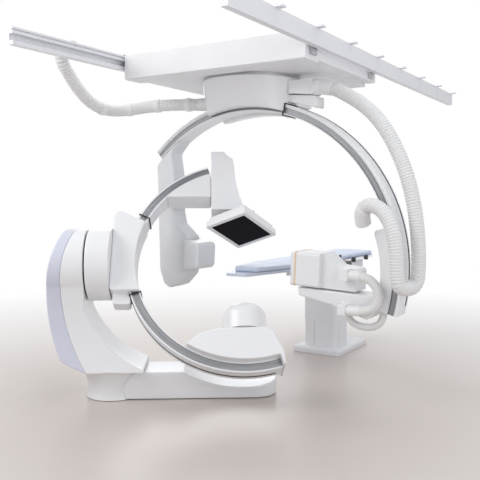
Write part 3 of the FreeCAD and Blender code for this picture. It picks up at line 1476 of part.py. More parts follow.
# Ceiling outlet: a flange with the socket that the supply hose goes into
outlet_flange = drum("outlet_flange", "z", ("-1148", "-880"), "supply_hose_radius + 40", "outlet_height - 14",
                     "outlet_height")
outlet_socket = drum("outlet_socket", "z", ("-1148", "-880"), "supply_hose_radius + socket_wall",
                     "outlet_height - 46", "outlet_height - 13")
outlet_room = drum("outlet_room", "z", ("-1148", "-880"), "supply_hose_radius + socket_gap",
                   "outlet_height - 47",
                   "outlet_height - 20")
outlet_whole = fused("outlet_whole", outlet_flange, outlet_socket)
outlet_screws = []
for count in range(4):
    reach = "(supply_hose_radius + 26)"
    across = (f"-1148 + {reach} * cos({90 * count + 45})", f"-880 + {reach} * sin({90 * count + 45})")
    outlet_screws.append(drum(f"outlet_screw{count}", "z", across, "4", "outlet_height - 20",
                              "outlet_height + 1"))
add_node(cut("outlet_cut", outlet_whole, outlet_room, *outlet_screws), "ceiling_hose_outlet", world)

# Hoses, as straight runs with tangent arcs
hose("main_hose", [
    (622, 100, 2483),
    (735, 100, 2478),
    (860, 97, 2412),
    (1022, 92, 2310),
    (1150, 82, 2182),
    (1250, 74, 2030),
    (1338, 66, 1846),
    (1396, 62, 1665),
    (1432, 60, 1486),
    (1452, 60, 1300),
    (1458, 60, 1130),
    (1450, 44, 975),
    (1366, -106, 968),
    (1356, -122, 1100),
    (1350, -124, 1262),
    (1315, -118, 1420),
    (1236, -98, 1540),
    (1120, -70, 1578),
    (1044, -30, 1510),
    (1050, 20, 1425),
], "main_hose_radius", world)
hose("supply_hose", [
    (-408, 100, 2422),
    (-560, 96, 2430),
    (-760, 32, 2436),
    (-960, -38, 2426),
    (-1110, -120, 2400),
    (-1206, -230, 2386),
    (-1236, -370, 2400),
    (-1226, -520, 2450),
    (-1192, -680, 2540),
    (-1160, -800, 2630),
    (-1148, -878, 2704),
    (-1148, -880, 2772),
], "supply_hose_radius", world)
hose("detector_loop_hose", [
    (931, 1, 1040),
    (1030, 1, 1036),
    (1118, 0, 1012),
    (1172, -2, 952),
    (1184, -3, 866),
    (1138, -5, 796),
    (1050, -5, 768),
    (931, -5, 772),
], "loop_hose_radius", world)
hose("detector_lower_hose", [
    (893, 100, 770),
    (893, 100, 712),
    (932, 100, 660),
    (1000, 100, 636),
    (1080, 100, 634),
    (1146, 100, 660),
    (1182, 100, 712),
    (1184, 100, 770),
], "lower_hose_radius", world)

doc.recompute()
bad_states = {"Invalid", "Error"}
unbuilt = [thing.Name for thing in doc.Objects if bad_states & set(thing.State)]
if unbuilt:
    raise RuntimeError(f"not built: {unbuilt}")
labels = [thing.Label for thing in nodes]
if len(labels) != len(set(labels)):
    raise RuntimeError("two sub-parts share a name")
faulty = [thing.Label for thing in nodes
          if thing.Shape.isNull() or not thing.Shape.isValid() or not thing.Shape.Solids]
if faulty:
    raise RuntimeError(f"no valid solid: {faulty}")
for thing in nodes:
    thing.Shape.exportStep(f"parts/{thing.Label}.step")
print(len(nodes), "sub-parts written")
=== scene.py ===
import math
import bmesh
import bpy
from mathutils import Matrix, Vector


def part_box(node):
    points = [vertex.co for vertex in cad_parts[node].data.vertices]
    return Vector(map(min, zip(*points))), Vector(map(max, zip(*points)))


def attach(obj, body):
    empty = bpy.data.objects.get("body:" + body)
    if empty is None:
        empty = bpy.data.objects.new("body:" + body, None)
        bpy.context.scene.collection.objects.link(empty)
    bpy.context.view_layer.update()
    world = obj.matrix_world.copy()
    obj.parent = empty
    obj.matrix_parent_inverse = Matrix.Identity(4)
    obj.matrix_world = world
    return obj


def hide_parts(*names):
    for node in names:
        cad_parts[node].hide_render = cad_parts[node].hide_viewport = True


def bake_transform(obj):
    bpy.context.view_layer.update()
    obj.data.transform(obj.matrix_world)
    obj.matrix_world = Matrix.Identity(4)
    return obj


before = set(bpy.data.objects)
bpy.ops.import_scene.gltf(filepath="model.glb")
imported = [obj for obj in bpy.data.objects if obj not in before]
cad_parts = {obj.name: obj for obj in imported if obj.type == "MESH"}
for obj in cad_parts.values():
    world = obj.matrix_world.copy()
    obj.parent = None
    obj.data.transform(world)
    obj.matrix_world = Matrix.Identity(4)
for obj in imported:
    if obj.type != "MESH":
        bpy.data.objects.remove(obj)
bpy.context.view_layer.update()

bpy.ops.object.select_all(action="DESELECT")
print("frame loaded:", len(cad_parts), "sub-parts")


# finishes
def newFinish(name):
    finish = bpy.data.materials.new(name)
    finish.use_nodes = True
    tree = finish.node_tree
    place = tree.nodes.new("ShaderNodeTexCoord")
    return finish, tree, tree.nodes["Principled BSDF"], place.outputs["Object"]


def noiseOn(tree, place, scale, detail=3.0):
    cloud = tree.nodes.new("ShaderNodeTexNoise")
    cloud.inputs["Scale"].default_value = scale
    cloud.inputs["Detail"].default_value = detail
    tree.links.new(place, cloud.inputs["Vector"])
    return cloud.outputs["Fac"]


def spread(tree, factor, low, high, fromLow=0.3, fromHigh=0.7):
    span = tree.nodes.new("ShaderNodeMapRange")
    span.inputs["From Min"].default_value = fromLow
    span.inputs["From Max"].default_value = fromHigh
    span.inputs["To Min"].default_value = low
    span.inputs["To Max"].default_value = high
    tree.links.new(factor, span.inputs["Value"])
    return span.outputs["Result"]


def blendColours(tree, factor, first, second):
    mix = tree.nodes.new("ShaderNodeMix")
    mix.data_type = "RGBA"
    for socket, colour in ((mix.inputs[6], first), (mix.inputs[7], second)):
        if isinstance(colour, tuple):
            socket.default_value = (*colour, 1)
        else:
            tree.links.new(colour, socket)
    tree.links.new(factor, mix.inputs[0])
    return mix.outputs[2]


def calculate(tree, operation, first, second=0.0):
    step = tree.nodes.new("ShaderNodeMath")
    step.operation = operation
    for socket, value in zip(step.inputs, (first, second)):
        if isinstance(value, (int, float)):
            socket.default_value = value
        else:
            tree.links.new(value, socket)
    return step.outputs[0]


def addBump(tree, shader, height, strength, depth):
    bump = tree.nodes.new("ShaderNodeBump")
    bump.inputs["Strength"].default_value = strength
    bump.inputs["Distance"].default_value = depth
    tree.links.new(height, bump.inputs["Height"])
    tree.links.new(bump.outputs["Normal"], shader.inputs["Normal"])


mouldedUsual = {"cloud": 0.965, "cloudScale": 2.6, "smudgeScale": 5.0, "grain": 0.03, "grainScale": 420.0,
                "grainDepth": 0.0003, "metallic": 0.0, "coat": 0.0, "coatRoughness": 0.12, "specular": 0.5}


def mouldedFinish(name, look):
    # lacquered or moulded cover: faint clouding, uneven gloss, fine orange peel
    look = {**mouldedUsual, **look}
    finish, tree, shader, place = newFinish(name)
    colour = look["colour"]
    darker = tuple(value * look["cloud"] for value in colour)
    clouds = noiseOn(tree, place, look["cloudScale"])
    tree.links.new(blendColours(tree, clouds, darker, colour), shader.inputs["Base Color"])
    smudges = noiseOn(tree, place, look["smudgeScale"], 1.5)
    low, high = look["roughness"]
    tree.links.new(spread(tree, smudges, low, high), shader.inputs["Roughness"])
    peel = noiseOn(tree, place, look["grainScale"], 2.0)
    addBump(tree, shader, peel, look["grain"], look["grainDepth"])
    shader.inputs["Metallic"].default_value = look["metallic"]
    shader.inputs["Coat Weight"].default_value = look["coat"]
    shader.inputs["Coat Roughness"].default_value = look["coatRoughness"]
    shader.inputs["Specular IOR Level"].default_value = look["specular"]
    return finish


def turnedCoordinates(tree, place, centre, axis):
    # distance along the axis, distance from it, and angle around it
    offset = tree.nodes.new("ShaderNodeVectorMath")
    offset.operation = "SUBTRACT"
    offset.inputs[1].default_value = centre
    tree.links.new(place, offset.inputs[0])
    axis = Vector(axis).normalized()
    across = axis.orthogonal().normalized()
    parts = []
    for direction in (axis, across, axis.cross(across)):
        dot = tree.nodes.new("ShaderNodeVectorMath")
        dot.operation = "DOT_PRODUCT"
        dot.inputs[1].default_value = direction
        tree.links.new(offset.outputs[0], dot.inputs[0])
        parts.append(dot.outputs["Value"])
    along, first, second = parts
    squares = calculate(tree, "ADD", calculate(tree, "MULTIPLY", first, first),
                        calculate(tree, "MULTIPLY", second, second))
    return along, calculate(tree, "SQRT", squares), calculate(tree, "ARCTAN2", second, first)


# the line width and colour draw a painted shadow line inside each rim, and the white is a painted highlight
# on the rims
arcUsual = {"brushAcross": 420.0, "brushAlong": 3.0, "brushBump": 0.10, "brushDepth": 0.0004,
            "shadowLineWidth": 0.003, "shadowLineColour": (0.10, 0.10, 0.11), "rimHighlightWhite": (0.86, 0.87, 0.89),
            "roughness": (0.30, 0.46)}


def arcFinish(name, look):
    # extruded arc: brushed along its curve, with a painted white highlight at its inner and outer rim and a
    # painted shadow line beside each
    look = {**arcUsual, **look}
    finish, tree, shader, place = newFinish(name)
    along, distance, angle = turnedCoordinates(tree, place, look["centre"], look["axis"])
    brush = tree.nodes.new("ShaderNodeCombineXYZ")
    tree.links.new(calculate(tree, "MULTIPLY", along, look["brushAcross"]), brush.inputs[0])
    tree.links.new(calculate(tree, "MULTIPLY", distance, look["brushAcross"]), brush.inputs[1])
    tree.links.new(calculate(tree, "MULTIPLY", angle, look["brushAlong"]), brush.inputs[2])
    streaks = noiseOn(tree, brush.outputs[0], 1.0, 2.0)
    metal = blendColours(tree, spread(tree, streaks, 0.0, 1.0), look["dark"], look["bright"])
    low, high, line = look["metalFrom"], look["metalTo"], look["shadowLineWidth"]
    # the rims, which get a painted white highlight and no metal
    lip = calculate(tree, "MAXIMUM", calculate(tree, "LESS_THAN", distance, low),
                    calculate(tree, "GREATER_THAN", distance, high))
    # a thin band just inside each rim that gets a painted dark shadow line
    shadowLineBand = calculate(tree, "MAXIMUM", calculate(tree, "LESS_THAN", distance, low + line),
                     calculate(tree, "GREATER_THAN", distance, high - line))
    inside = calculate(tree, "SUBTRACT", 1.0, lip)
    # first the painted shadow line, then the painted rim highlight
    coloured = blendColours(tree, calculate(tree, "MULTIPLY", shadowLineBand, inside), metal, look["shadowLineColour"])
    coloured = blendColours(tree, lip, coloured, look["rimHighlightWhite"])
    tree.links.new(coloured, shader.inputs["Base Color"])
    tree.links.new(calculate(tree, "MULTIPLY", inside, look["metallic"]), shader.inputs["Metallic"])
    tree.links.new(spread(tree, streaks, *look["roughness"]), shader.inputs["Roughness"])
    addBump(tree, shader, streaks, look["brushBump"], look["brushDepth"])
    return finish


# the two colours are painted shade in the tooth valleys and painted light on the tooth crests
beltUsual = {"shadedValley": (0.012, 0.012, 0.014), "litCrest": (0.045, 0.045, 0.05), "smudgeScale": 60.0,
             "roughness": (0.5, 0.7), "toothBump": 0.5, "toothDepth": 0.002}


def toothedFinish(name, look):
    # drive belt: cross ribs around the arc, with painted shade in the valleys between teeth and painted light
    # on the crests
    look = {**beltUsual, **look}
    finish, tree, shader, place = newFinish(name)
    along, distance, angle = turnedCoordinates(tree, place, look["centre"], look["axis"])
    teeth = calculate(tree, "SINE", calculate(tree, "MULTIPLY", angle, look["teeth"]))
    # each tooth is painted dark in its valley and lighter on its crest, as painted shade and light
    colour = blendColours(tree, spread(tree, teeth, 0.0, 1.0, -1, 1), look["shadedValley"], look["litCrest"])
    tree.links.new(colour, shader.inputs["Base Color"])
    smudges = noiseOn(tree, place, look["smudgeScale"])
    tree.links.new(spread(tree, smudges, *look["roughness"]), shader.inputs["Roughness"])
    addBump(tree, shader, teeth, look["toothBump"], look["toothDepth"])
    return finish


def pebbledFinish(name, look):
    # coated upholstery: leather-like pebbles over a soft sheen
    finish, tree, shader, place = newFinish(name)
    clouds = noiseOn(tree, place, look["cloudScale"])
    tree.links.new(blendColours(tree, clouds, look["dark"], look["bright"]), shader.inputs["Base Color"])
    pebbles = tree.nodes.new("ShaderNodeTexVoronoi")
    pebbles.inputs["Scale"].default_value = look["pebbleScale"]
    tree.links.new(place, pebbles.inputs["Vector"])
    addBump(tree, shader, pebbles.outputs["Distance"], look["pebbleBump"], look["pebbleDepth"])
    tree.links.new(spread(tree, clouds, *look["roughness"]), shader.inputs["Roughness"])
    shader.inputs["Sheen Weight"].default_value = look["sheen"]
    return finish


ringAxis = (0.48217, -0.69764, 0.52992)
ringCentre = (0.0, 0.0, 1.075)
lateralCentre = (0.0, 0.150, 1.075)
lateralAxis = (0, -1, 0)
mouldedLooks = {
    "whiteCover": {"colour": (0.86, 0.865, 0.885), "roughness": (0.30, 0.36), "coat": 0.3},
    "whiteStand": {"colour": (0.88, 0.885, 0.90), "roughness": (0.30, 0.36), "coat": 0.3},
    "greyCover": {"colour": (0.76, 0.77, 0.79), "roughness": (0.30, 0.42), "coat": 0.15},
    "whitePowder": {"colour": (0.84, 0.845, 0.865), "roughness": (0.38, 0.52), "grain": 0.16,
                    "grainScale": 700.0},
    "lavenderPanel": {"colour": (0.68, 0.70, 0.81), "roughness": (0.28, 0.34), "coat": 0.4, "cloud": 0.95},
    "paleBlueBoard": {"colour": (0.60, 0.64, 0.76), "roughness": (0.28, 0.40), "coat": 0.25},
    "darkTrim": {"colour": (0.018, 0.018, 0.020), "roughness": (0.38, 0.55), "grain": 0.1},
    "detectorGlass": {"colour": (0.006, 0.005, 0.007), "roughness": (0.46, 0.54), "grain": 0.01,
                      "specular": 0.06},
    "machinedSteel": {"colour": (0.50, 0.51, 0.53), "roughness": (0.28, 0.44), "metallic": 1.0, "grain": 0.12,
                      "grainScale": 900.0},
    "railAluminium": {"colour": (0.78, 0.785, 0.815), "roughness": (0.38, 0.46), "metallic": 0.15,
                      "grain": 0.015},
    "brightSteel": {"colour": (0.78, 0.79, 0.81), "roughness": (0.12, 0.22), "metallic": 1.0, "grain": 0.03},
    "gasketRubber": {"colour": (0.80, 0.60, 0.40), "roughness": (0.42, 0.56), "grain": 0.1},
    "wheelTread": {"colour": (0.08, 0.08, 0.085), "roughness": (0.5, 0.66), "grain": 0.2},
    "controlBlack": {"colour": (0.035, 0.035, 0.040), "roughness": (0.36, 0.5), "grain": 0.2,
                     "grainScale": 1100.0},
    "stopRed": {"colour": (0.62, 0.03, 0.03), "roughness": (0.2, 0.3), "coat": 0.4},
    "seamGrey": {"colour": (0.22, 0.23, 0.26), "roughness": (0.5, 0.6)},
    "hosePlastic": {"colour": (0.80, 0.80, 0.795), "roughness": (0.40, 0.54), "grain": 0.08, "cloud": 0.94,
                    "cloudScale": 7.0},
    "hoseBand": {"colour": (0.86, 0.86, 0.86), "roughness": (0.3, 0.42)},
}
padLooks = {
    "padVinyl": {"dark": (0.60, 0.66, 0.80), "bright": (0.66, 0.72, 0.84), "cloudScale": 5.0,
                 "pebbleScale": 380.0, "pebbleBump": 0.18, "pebbleDepth": 0.0008, "roughness": (0.42, 0.56),
                 "sheen": 0.15},
}
arcLooks = {
    "frontalArc": {"centre": ringCentre, "axis": ringAxis, "metalFrom": 0.8835, "metalTo": 0.9395,
                   "dark": (0.20, 0.205, 0.22), "bright": (0.42, 0.43, 0.45), "metallic": 0.7},
    "lateralArc": {"centre": lateralCentre, "axis": lateralAxis, "metalFrom": 1.2690, "metalTo": 1.3140,
                   "dark": (0.19, 0.195, 0.21), "bright": (0.40, 0.41, 0.43), "metallic": 0.6},
}
beltLooks = {
    "frontalBelt": {"centre": ringCentre, "axis": ringAxis, "teeth": 600.0},
    "lateralBelt": {"centre": lateralCentre, "axis": lateralAxis, "teeth": 840.0},
}
finishes = {}
for makeFinish, looks in ((mouldedFinish, mouldedLooks), (pebbledFinish, padLooks), (arcFinish, arcLooks),
                          (toothedFinish, beltLooks)):
    for finishName, look in looks.items():
        finishes[finishName] = makeFinish(finishName, look)
nodeFinishes = {
    "whiteStand": ["floor_arm", "pedestal", "column", "roll_barrel", "arc_carriage", "frontal_tube_housing",
                   "frontal_collimator_cover", "frontal_detector_housing"],
    "whiteCover": ["frontal_detector_arm", "frontal_mast", "swivel_head", "head_hose_box",
                   "lateral_end_housing", "lateral_slide_base", "lateral_detector_housing",
                   "head_motor_housing"],
    "greyCover": ["lateral_tube_casing", "lateral_collimator"],
    "whitePowder": ["carriage_frame", "carriage_rear_beam", "travel_drive_box", "table_plinth",
                    "table_lower_shroud", "table_upper_shroud", "table_slide_frame", "ceiling_hose_outlet",
                    "orbit_gearbox"],
    "lavenderPanel": ["column_back_cover"],
    "paleBlueBoard": ["tabletop"],
    "darkTrim": ["roll_bearing", "lateral_detector_window"],
    "detectorGlass": ["frontal_detector_window"],
    "machinedSteel": ["floor_anchor_plate", "column_swivel_bearing", "frontal_drive_pulley",
                      "lateral_drive_pulley", "head_swivel_bearing", "frontal_lift_slide",
                      "frontal_collimator", "carriage_roller_trucks", "frontal_xray_tube",
                      "lateral_xray_tube"],
    "railAluminium": ["left_ceiling_rail", "right_ceiling_rail"],
    "brightSteel": ["accessory_rails"],
    "gasketRubber": ["lateral_detector_gasket"],
    "wheelTread": ["front_wheels", "rear_wheels"],
    "controlBlack": ["control_box", "control_joystick"],
    "stopRed": ["stop_button"],
    "hosePlastic": ["main_hose", "supply_hose", "detector_loop_hose", "detector_lower_hose"],
    "padVinyl": ["mattress"],
    "frontalArc": ["frontal_arc"],
    "lateralArc": ["lateral_arc"],
    "frontalBelt": ["frontal_arc_belt"],
    "lateralBelt": ["lateral_arc_belt"],
}
for finishName, names in nodeFinishes.items():
    for nodeName in names:
        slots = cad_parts[nodeName].data.materials
        slots.clear()
        slots.append(finishes[finishName])
print("finishes on", sum(len(names) for names in nodeFinishes.values()), "sub-parts")


# helpers for new pieces
def selectOnly(piece):
    bpy.ops.object.select_all(action="DESELECT")
    piece.select_set(True)
    bpy.context.view_layer.objects.active = piece


def applied(piece, kind, settings):
    # adds a modifier with these settings and applies it
    modifier = piece.modifiers.new("step", kind)
    for setting, value in settings.items():
        setattr(modifier, setting, value)
    bpy.ops.object.modifier_apply(modifier="step")


def addPiece(name, mesh, finish, body):
    piece = bpy.data.objects.new(name, mesh)
    bpy.context.scene.collection.objects.link(piece)
    mesh.materials.clear()
    mesh.materials.append(finishes[finish])
    if body:
        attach(piece, body)
    return piece


def meshFrom(bm, name):
    bmesh.ops.recalc_face_normals(bm, faces=bm.faces)
    mesh = bpy.data.meshes.new(name)
    bm.to_mesh(mesh)
    bm.free()
    mesh.polygons.foreach_set("use_smooth", [True] * len(mesh.polygons))
    return mesh


def finishPiece(piece, name, finish, body, smoothTo=35):
    # puts a modelled object's place in its mesh, smooths it, colours it and lets it ride
    selectOnly(piece)
    bpy.ops.object.transform_apply(location=True, rotation=True, scale=True)
    bpy.ops.object.shade_smooth_by_angle(angle=math.radians(smoothTo))
    piece.name = name
    piece.data.materials.clear()
    piece.data.materials.append(finishes[finish])
    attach(piece, body)
    piece.select_set(False)
    return piece


def roundedBlock(name, centre, size, radius, finish, body):
    bpy.ops.object.select_all(action="DESELECT")
    bpy.ops.mesh.primitive_cube_add(size=1, location=centre)
    piece = bpy.context.object
    piece.scale = size
    bpy.ops.object.transform_apply(location=False, rotation=False, scale=True)
    applied(piece, "BEVEL", {"width": radius, "segments": 3})
    return finishPiece(piece, name, finish, body)


def smoothedCopy(node, name, look):
    # a copy of a solid whose skin is remade in small even faces and then rounded
    copy = bpy.data.objects.new(name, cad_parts[node].data.copy())
    bpy.context.scene.collection.objects.link(copy)
    bm = bmesh.new()
    bm.from_mesh(copy.data)
    for filler in look.get("filledBy", []):  # an insert in a thin-walled room closes the cover over itself
        bm.from_mesh(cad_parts[filler].data)
    bmesh.ops.remove_doubles(bm, verts=bm.verts, dist=look.get("weld", 2e-5))
    bm.to_mesh(copy.data)
    bm.free()
    selectOnly(copy)
    applied(copy, "REMESH", {"mode": "VOXEL", "voxel_size": look["voxel"]})
    applied(copy, "SMOOTH", {"factor": 0.5, "iterations": look["passes"]})
    return copy


# moulded covers: the same forms with their edges rounded as mouldings are
def mouldedShell(node, look):
    shell = smoothedCopy(node, look["name"], look)
    finishPiece(shell, look["name"], look["finish"], look["body"],
                smoothTo=180)
    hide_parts(node)


shellLooks = {
    "column": {"name": "columnShell", "voxel": 0.006, "passes": 7, "finish": "whiteStand", "body": "column"},
    "column_back_cover": {"name": "backCoverShell", "voxel": 0.006, "passes": 5, "finish": "lavenderPanel",
                          "body": "column", "slot": "blue_panel"},
    "frontal_tube_housing": {"name": "frontalTubeShell", "voxel": 0.006, "passes": 6, "finish": "whiteStand",
                             "body": "frontal_c_arm", "filledBy": ["frontal_xray_tube"]},
    "frontal_mast": {"name": "mastShell", "voxel": 0.005, "passes": 4, "finish": "whiteCover",
                     "body": "frontal_c_arm"},
    "frontal_detector_arm": {"name": "detectorArmShell", "voxel": 0.006, "passes": 5, "finish": "whiteCover",
                             "body": "frontal_c_arm"},
    "lateral_tube_casing": {"name": "lateralCasingShell", "voxel": 0.007, "passes": 7, "finish": "greyCover",
                            "body": "lateral_c_arm", "filledBy": ["lateral_xray_tube"]},
    "lateral_collimator": {"name": "lateralCollimatorShell", "voxel": 0.006, "passes": 7,
                           "finish": "greyCover", "body": "lateral_c_arm"},
    "lateral_slide_base": {"name": "slideBaseShell", "voxel": 0.005, "passes": 4, "finish": "whiteCover",
                           "body": "lateral_c_arm"},
    "lateral_end_housing": {"name": "endHousingShell", "voxel": 0.005, "passes": 4, "finish": "whiteCover",
                            "body": "lateral_c_arm"},
    "swivel_head": {"name": "headShell", "voxel": 0.006, "passes": 5, "finish": "whiteCover",
                    "body": "swivel_head"},
    "arc_carriage": {"name": "carriageShell", "voxel": 0.005, "passes": 4, "finish": "whiteStand",
                     "body": "arc_carriage"},
    "floor_arm": {"name": "floorArmShell", "voxel": 0.007, "passes": 5, "finish": "whiteStand",
                  "body": "floor_arm"},
}
for node, look in shellLooks.items():
    mouldedShell(node, look)
print("moulded covers:", len(shellLooks))


# hoses
hoseUsual = {"curveSteps": 24, "stepsPerRib": 6, "sides": 28, "lipStart": 0.35, "lipRise": 0.4}


def splineLine(route):
    curve = bpy.data.curves.new("routeLine", "CURVE")
    curve.dimensions = "3D"
    curve.resolution_u = hoseUsual["curveSteps"]
    spline = curve.splines.new("NURBS")
    spline.points.add(len(route) - 1)
    for point, place in zip(spline.points, route):
        point.co = (*place, 1)
    spline.order_u = 3
    spline.use_endpoint_u = True
    holder = bpy.data.objects.new("routeHolder", curve)
    bpy.context.scene.collection.objects.link(holder)
    bpy.context.view_layer.update()
    line = bpy.data.meshes.new_from_object(holder.evaluated_get(bpy.context.evaluated_depsgraph_get()))
    points = [vertex.co.copy() for vertex in line.vertices]
    bpy.data.objects.remove(holder)
    bpy.data.curves.remove(curve)
    bpy.data.meshes.remove(line)
    return points


def evenPoints(points, step):
    lengths = [0.0]
    for first, second in zip(points, points[1:]):
        lengths.append(lengths[-1] + (second - first).length)
    total = lengths[-1]
    count = max(2, round(total / step))
    result = []
    index = 0
    for number in range(count + 1):
        target = total * number / count
        while index < len(points) - 2 and lengths[index + 1] < target:
            index += 1
        part = (target - lengths[index]) / max(lengths[index + 1] - lengths[index], 1e-9)
        result.append(points[index].lerp(points[index + 1], part))
    return result, total


def tubeAlong(name, points, radii):
    sides = hoseUsual["sides"]
    bm = bmesh.new()
    side = (points[1] - points[0]).orthogonal().normalized()
    rings = []
    for index, (point, radius) in enumerate(zip(points, radii)):
        before = points[max(index - 1, 0)]
        after = points[min(index + 1, len(points) - 1)]
        forward = (after - before).normalized()
        side = (side - forward * side.dot(forward)).normalized()
        other = forward.cross(side)
        rings.append([bm.verts.new(point + radius * (math.cos(turn) * side + math.sin(turn) * other))
                      for turn in (2 * math.pi * step / sides for step in range(sides))])
    for first, second in zip(rings, rings[1:]):
        for number in range(sides):
            following = (number + 1) % sides
            bm.faces.new((first[number], first[following], second[following], second[number]))
    bm.faces.new(rings[0])
    bm.faces.new(rings[-1])
    return meshFrom(bm, name)


def ribbedHose(name, node, look):
    ribPitch = look["pitch"]
    points, total = evenPoints(splineLine(look["route"]), ribPitch / hoseUsual["stepsPerRib"])
    final = len(points) - 1
    radii = []
    for number in range(len(points)):
        run = total * number / final
        wave = 0.5 - 0.5 * math.cos(2 * math.pi * run / ribPitch)
        depth = look["depth"]
        for first, last in look.get("smooth", []):
            if first <= run / total <= last:
                depth = 0.0
        radii.append(look["radius"] - depth * wave)
    sleeveCount = 0
    for part in look["parts"]:
        start, end = (round(share * final) for share in part["span"])
        hose = addPiece(part["name"], tubeAlong(part["name"], points[start:end + 1], radii[start:end + 1]),
                        "hosePlastic", part.get("body"))
        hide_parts(node)
        bending = [hose] if "bends" in part else []
        for first, last, extra, sleeveBody in part.get("sleeves", []):
            sleeveCount += 1
            band = points[round(first * final):round(last * final) + 1]
            outer = []
            for step in range(len(band)):
                fromEdge = min(step, len(band) - 1 - step)
                rise = min(1.0, hoseUsual["lipStart"] + hoseUsual["lipRise"] * fromEdge)
                outer.append(look["radius"] + extra * rise)
            sleeve = addPiece(f"{name}Sleeve{sleeveCount}", tubeAlong(name + "Sleeve", band, outer),
                              "hoseBand", sleeveBody)
            if sleeveBody is None:
                bending.append(sleeve)
        for piece in bending:  # pieces with no body keep their place baked into their meshes
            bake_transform(piece)
        print(part["name"], "length", round(total * (part["span"][1] - part["span"][0]), 3))


mainHoseLook = {
    "radius": 0.055, "pitch": 0.021, "depth": 0.005,
    "smooth": [(0.0, 0.02), (0.985, 1.0)],
    "parts": [{
        "name": "mainHose", "span": (0.0, 1.0), "length": 2.94,
        "sleeves": [(0.0, 0.045, 0.0045, "swivel_head"), (0.95, 1.0, 0.0045, "lateral_c_arm")],
        "bends": {"first": "swivel_head", "last": "lateral_c_arm", "start": (0.76, 0.1, 2.46),
                  "end": (1.45, 0.06, 1.30)},
    }],
    "route": [
        (0.622, 0.100, 2.483), (0.735, 0.100, 2.478), (0.860, 0.097, 2.412), (1.022, 0.092, 2.310),
        (1.150, 0.082, 2.182), (1.250, 0.074, 2.030), (1.338, 0.066, 1.846), (1.396, 0.062, 1.665),
        (1.432, 0.060, 1.486), (1.452, 0.060, 1.300), (1.458, 0.060, 1.130), (1.450, 0.044, 0.975),
        (1.366, -0.106, 0.968), (1.356, -0.122, 1.100), (1.350, -0.124, 1.262), (1.315, -0.118, 1.420),
        (1.236, -0.098, 1.540), (1.120, -0.070, 1.578), (1.044, -0.030, 1.510), (1.050, 0.020, 1.425),
    ],
}
supplyHoseLook = {
    "radius": 0.052, "pitch": 0.024, "depth": 0.006,
    "smooth": [(0.30, 0.60)],
    # the hose crosses two joints, so its two lengths meet under the band that the carriage carries
    "parts": [{
        "name": "supplyHose", "span": (0.0, 0.435), "length": 0.74,
        "sleeves": [(0.0, 0.05, 0.003, "swivel_head"), (0.10, 0.13, 0.006, None), (0.27, 0.30, 0.006, None)],
        "bends": {"first": "swivel_head", "last": "ceiling_carriage", "start": (-0.48, 0.1, 2.42),
                  "end": (-1.02, -0.07, 2.42)},
    }, {
        "name": "supplyHoseFar", "span": (0.435, 1.0), "length": 0.96,
        "sleeves": [(0.42, 0.45, 0.006, "ceiling_carriage"), (0.57, 0.60, 0.006, None)],
        "bends": {"first": "ceiling_carriage", "last": "building", "start": (-1.15, -0.18, 2.40),
                  "end": (-1.15, -0.86, 2.69)},
    }],
    "route": [
        (-0.408, 0.100, 2.422), (-0.560, 0.096, 2.430), (-0.760, 0.032, 2.436), (-0.960, -0.038, 2.426),
        (-1.110, -0.120, 2.400), (-1.206, -0.230, 2.386), (-1.236, -0.370, 2.400), (-1.226, -0.520, 2.450),
        (-1.192, -0.680, 2.540), (-1.160, -0.800, 2.630), (-1.148, -0.878, 2.704), (-1.148, -0.880, 2.772),
    ],
}
loopHoseLook = {
    "radius": 0.036, "pitch": 0.016, "depth": 0.0012,
    "parts": [{
        "name": "loopHose", "span": (0.0, 1.0), "length": 0.642,
        "sleeves": [(0.0, 0.17, 0.003, "lateral_detector"), (0.83, 1.0, 0.003, "lateral_c_arm")],
        "bends": {"first": "lateral_detector", "last": "lateral_c_arm", "start": (1.1, 0, 0.99),
                  "end": (1.1, 0, 0.80)},
    }],
    "route": [
        (0.931, 0.001, 1.040), (1.030, 0.001, 1.036), (1.118, 0.0, 1.012), (1.172, -0.002, 0.952),
        (1.184, -0.003, 0.866), (1.138, -0.005, 0.796), (1.050, -0.005, 0.768), (0.931, -0.005, 0.772),
    ],
}
lowerHoseLook = {
    "radius": 0.028, "pitch": 0.014, "depth": 0.001,
    "parts": [{"name": "lowerHose", "span": (0.0, 1.0), "length": 0.459, "body": "lateral_c_arm"}],
    "route": [
        (0.893, 0.100, 0.770), (0.893, 0.100, 0.712), (0.932, 0.100, 0.660), (1.000, 0.100, 0.636),
        (1.080, 0.100, 0.634), (1.146, 0.100, 0.660), (1.182, 0.100, 0.712), (1.184, 0.100, 0.770),
    ],
}
ribbedHose("mainHose", "main_hose", mainHoseLook)
ribbedHose("supplyHose", "supply_hose", supplyHoseLook)
ribbedHose("loopHose", "detector_loop_hose", loopHoseLook)
ribbedHose("lowerHose", "detector_lower_hose", lowerHoseLook)
print("hoses made")

# mattress
mattressLook = {"voxel": 0.009, "passes": 5, "weld": 1e-5, "crown": 0.004, "halfWidth": 0.22,
                "seams": (0.62, 1.22, 1.82), "seamWidth": 0.009, "seamDepth": 0.006}


def softMattress(look):
    low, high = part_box("mattress")
    middle = (low + high) / 2
    pad = smoothedCopy("mattress", "mattressPad", look)
    for vertex in pad.data.vertices:
        place = vertex.co
        if place.z > middle.z:
            fromMiddle = min(1.0, abs(place.x - middle.x) / look["halfWidth"])
            crown = look["crown"] * math.cos(math.pi * fromMiddle / 2)
            sink = sum(math.exp(-((place.y - seam) / look["seamWidth"]) ** 2) for seam in look["seams"])
            place.z += crown - look["crown"] - look["seamDepth"] * sink
    finishPiece(pad, "mattressPad", "padVinyl", "table_top", smoothTo=60)
    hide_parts("mattress")


softMattress(mattressLook)
print("mattress made")

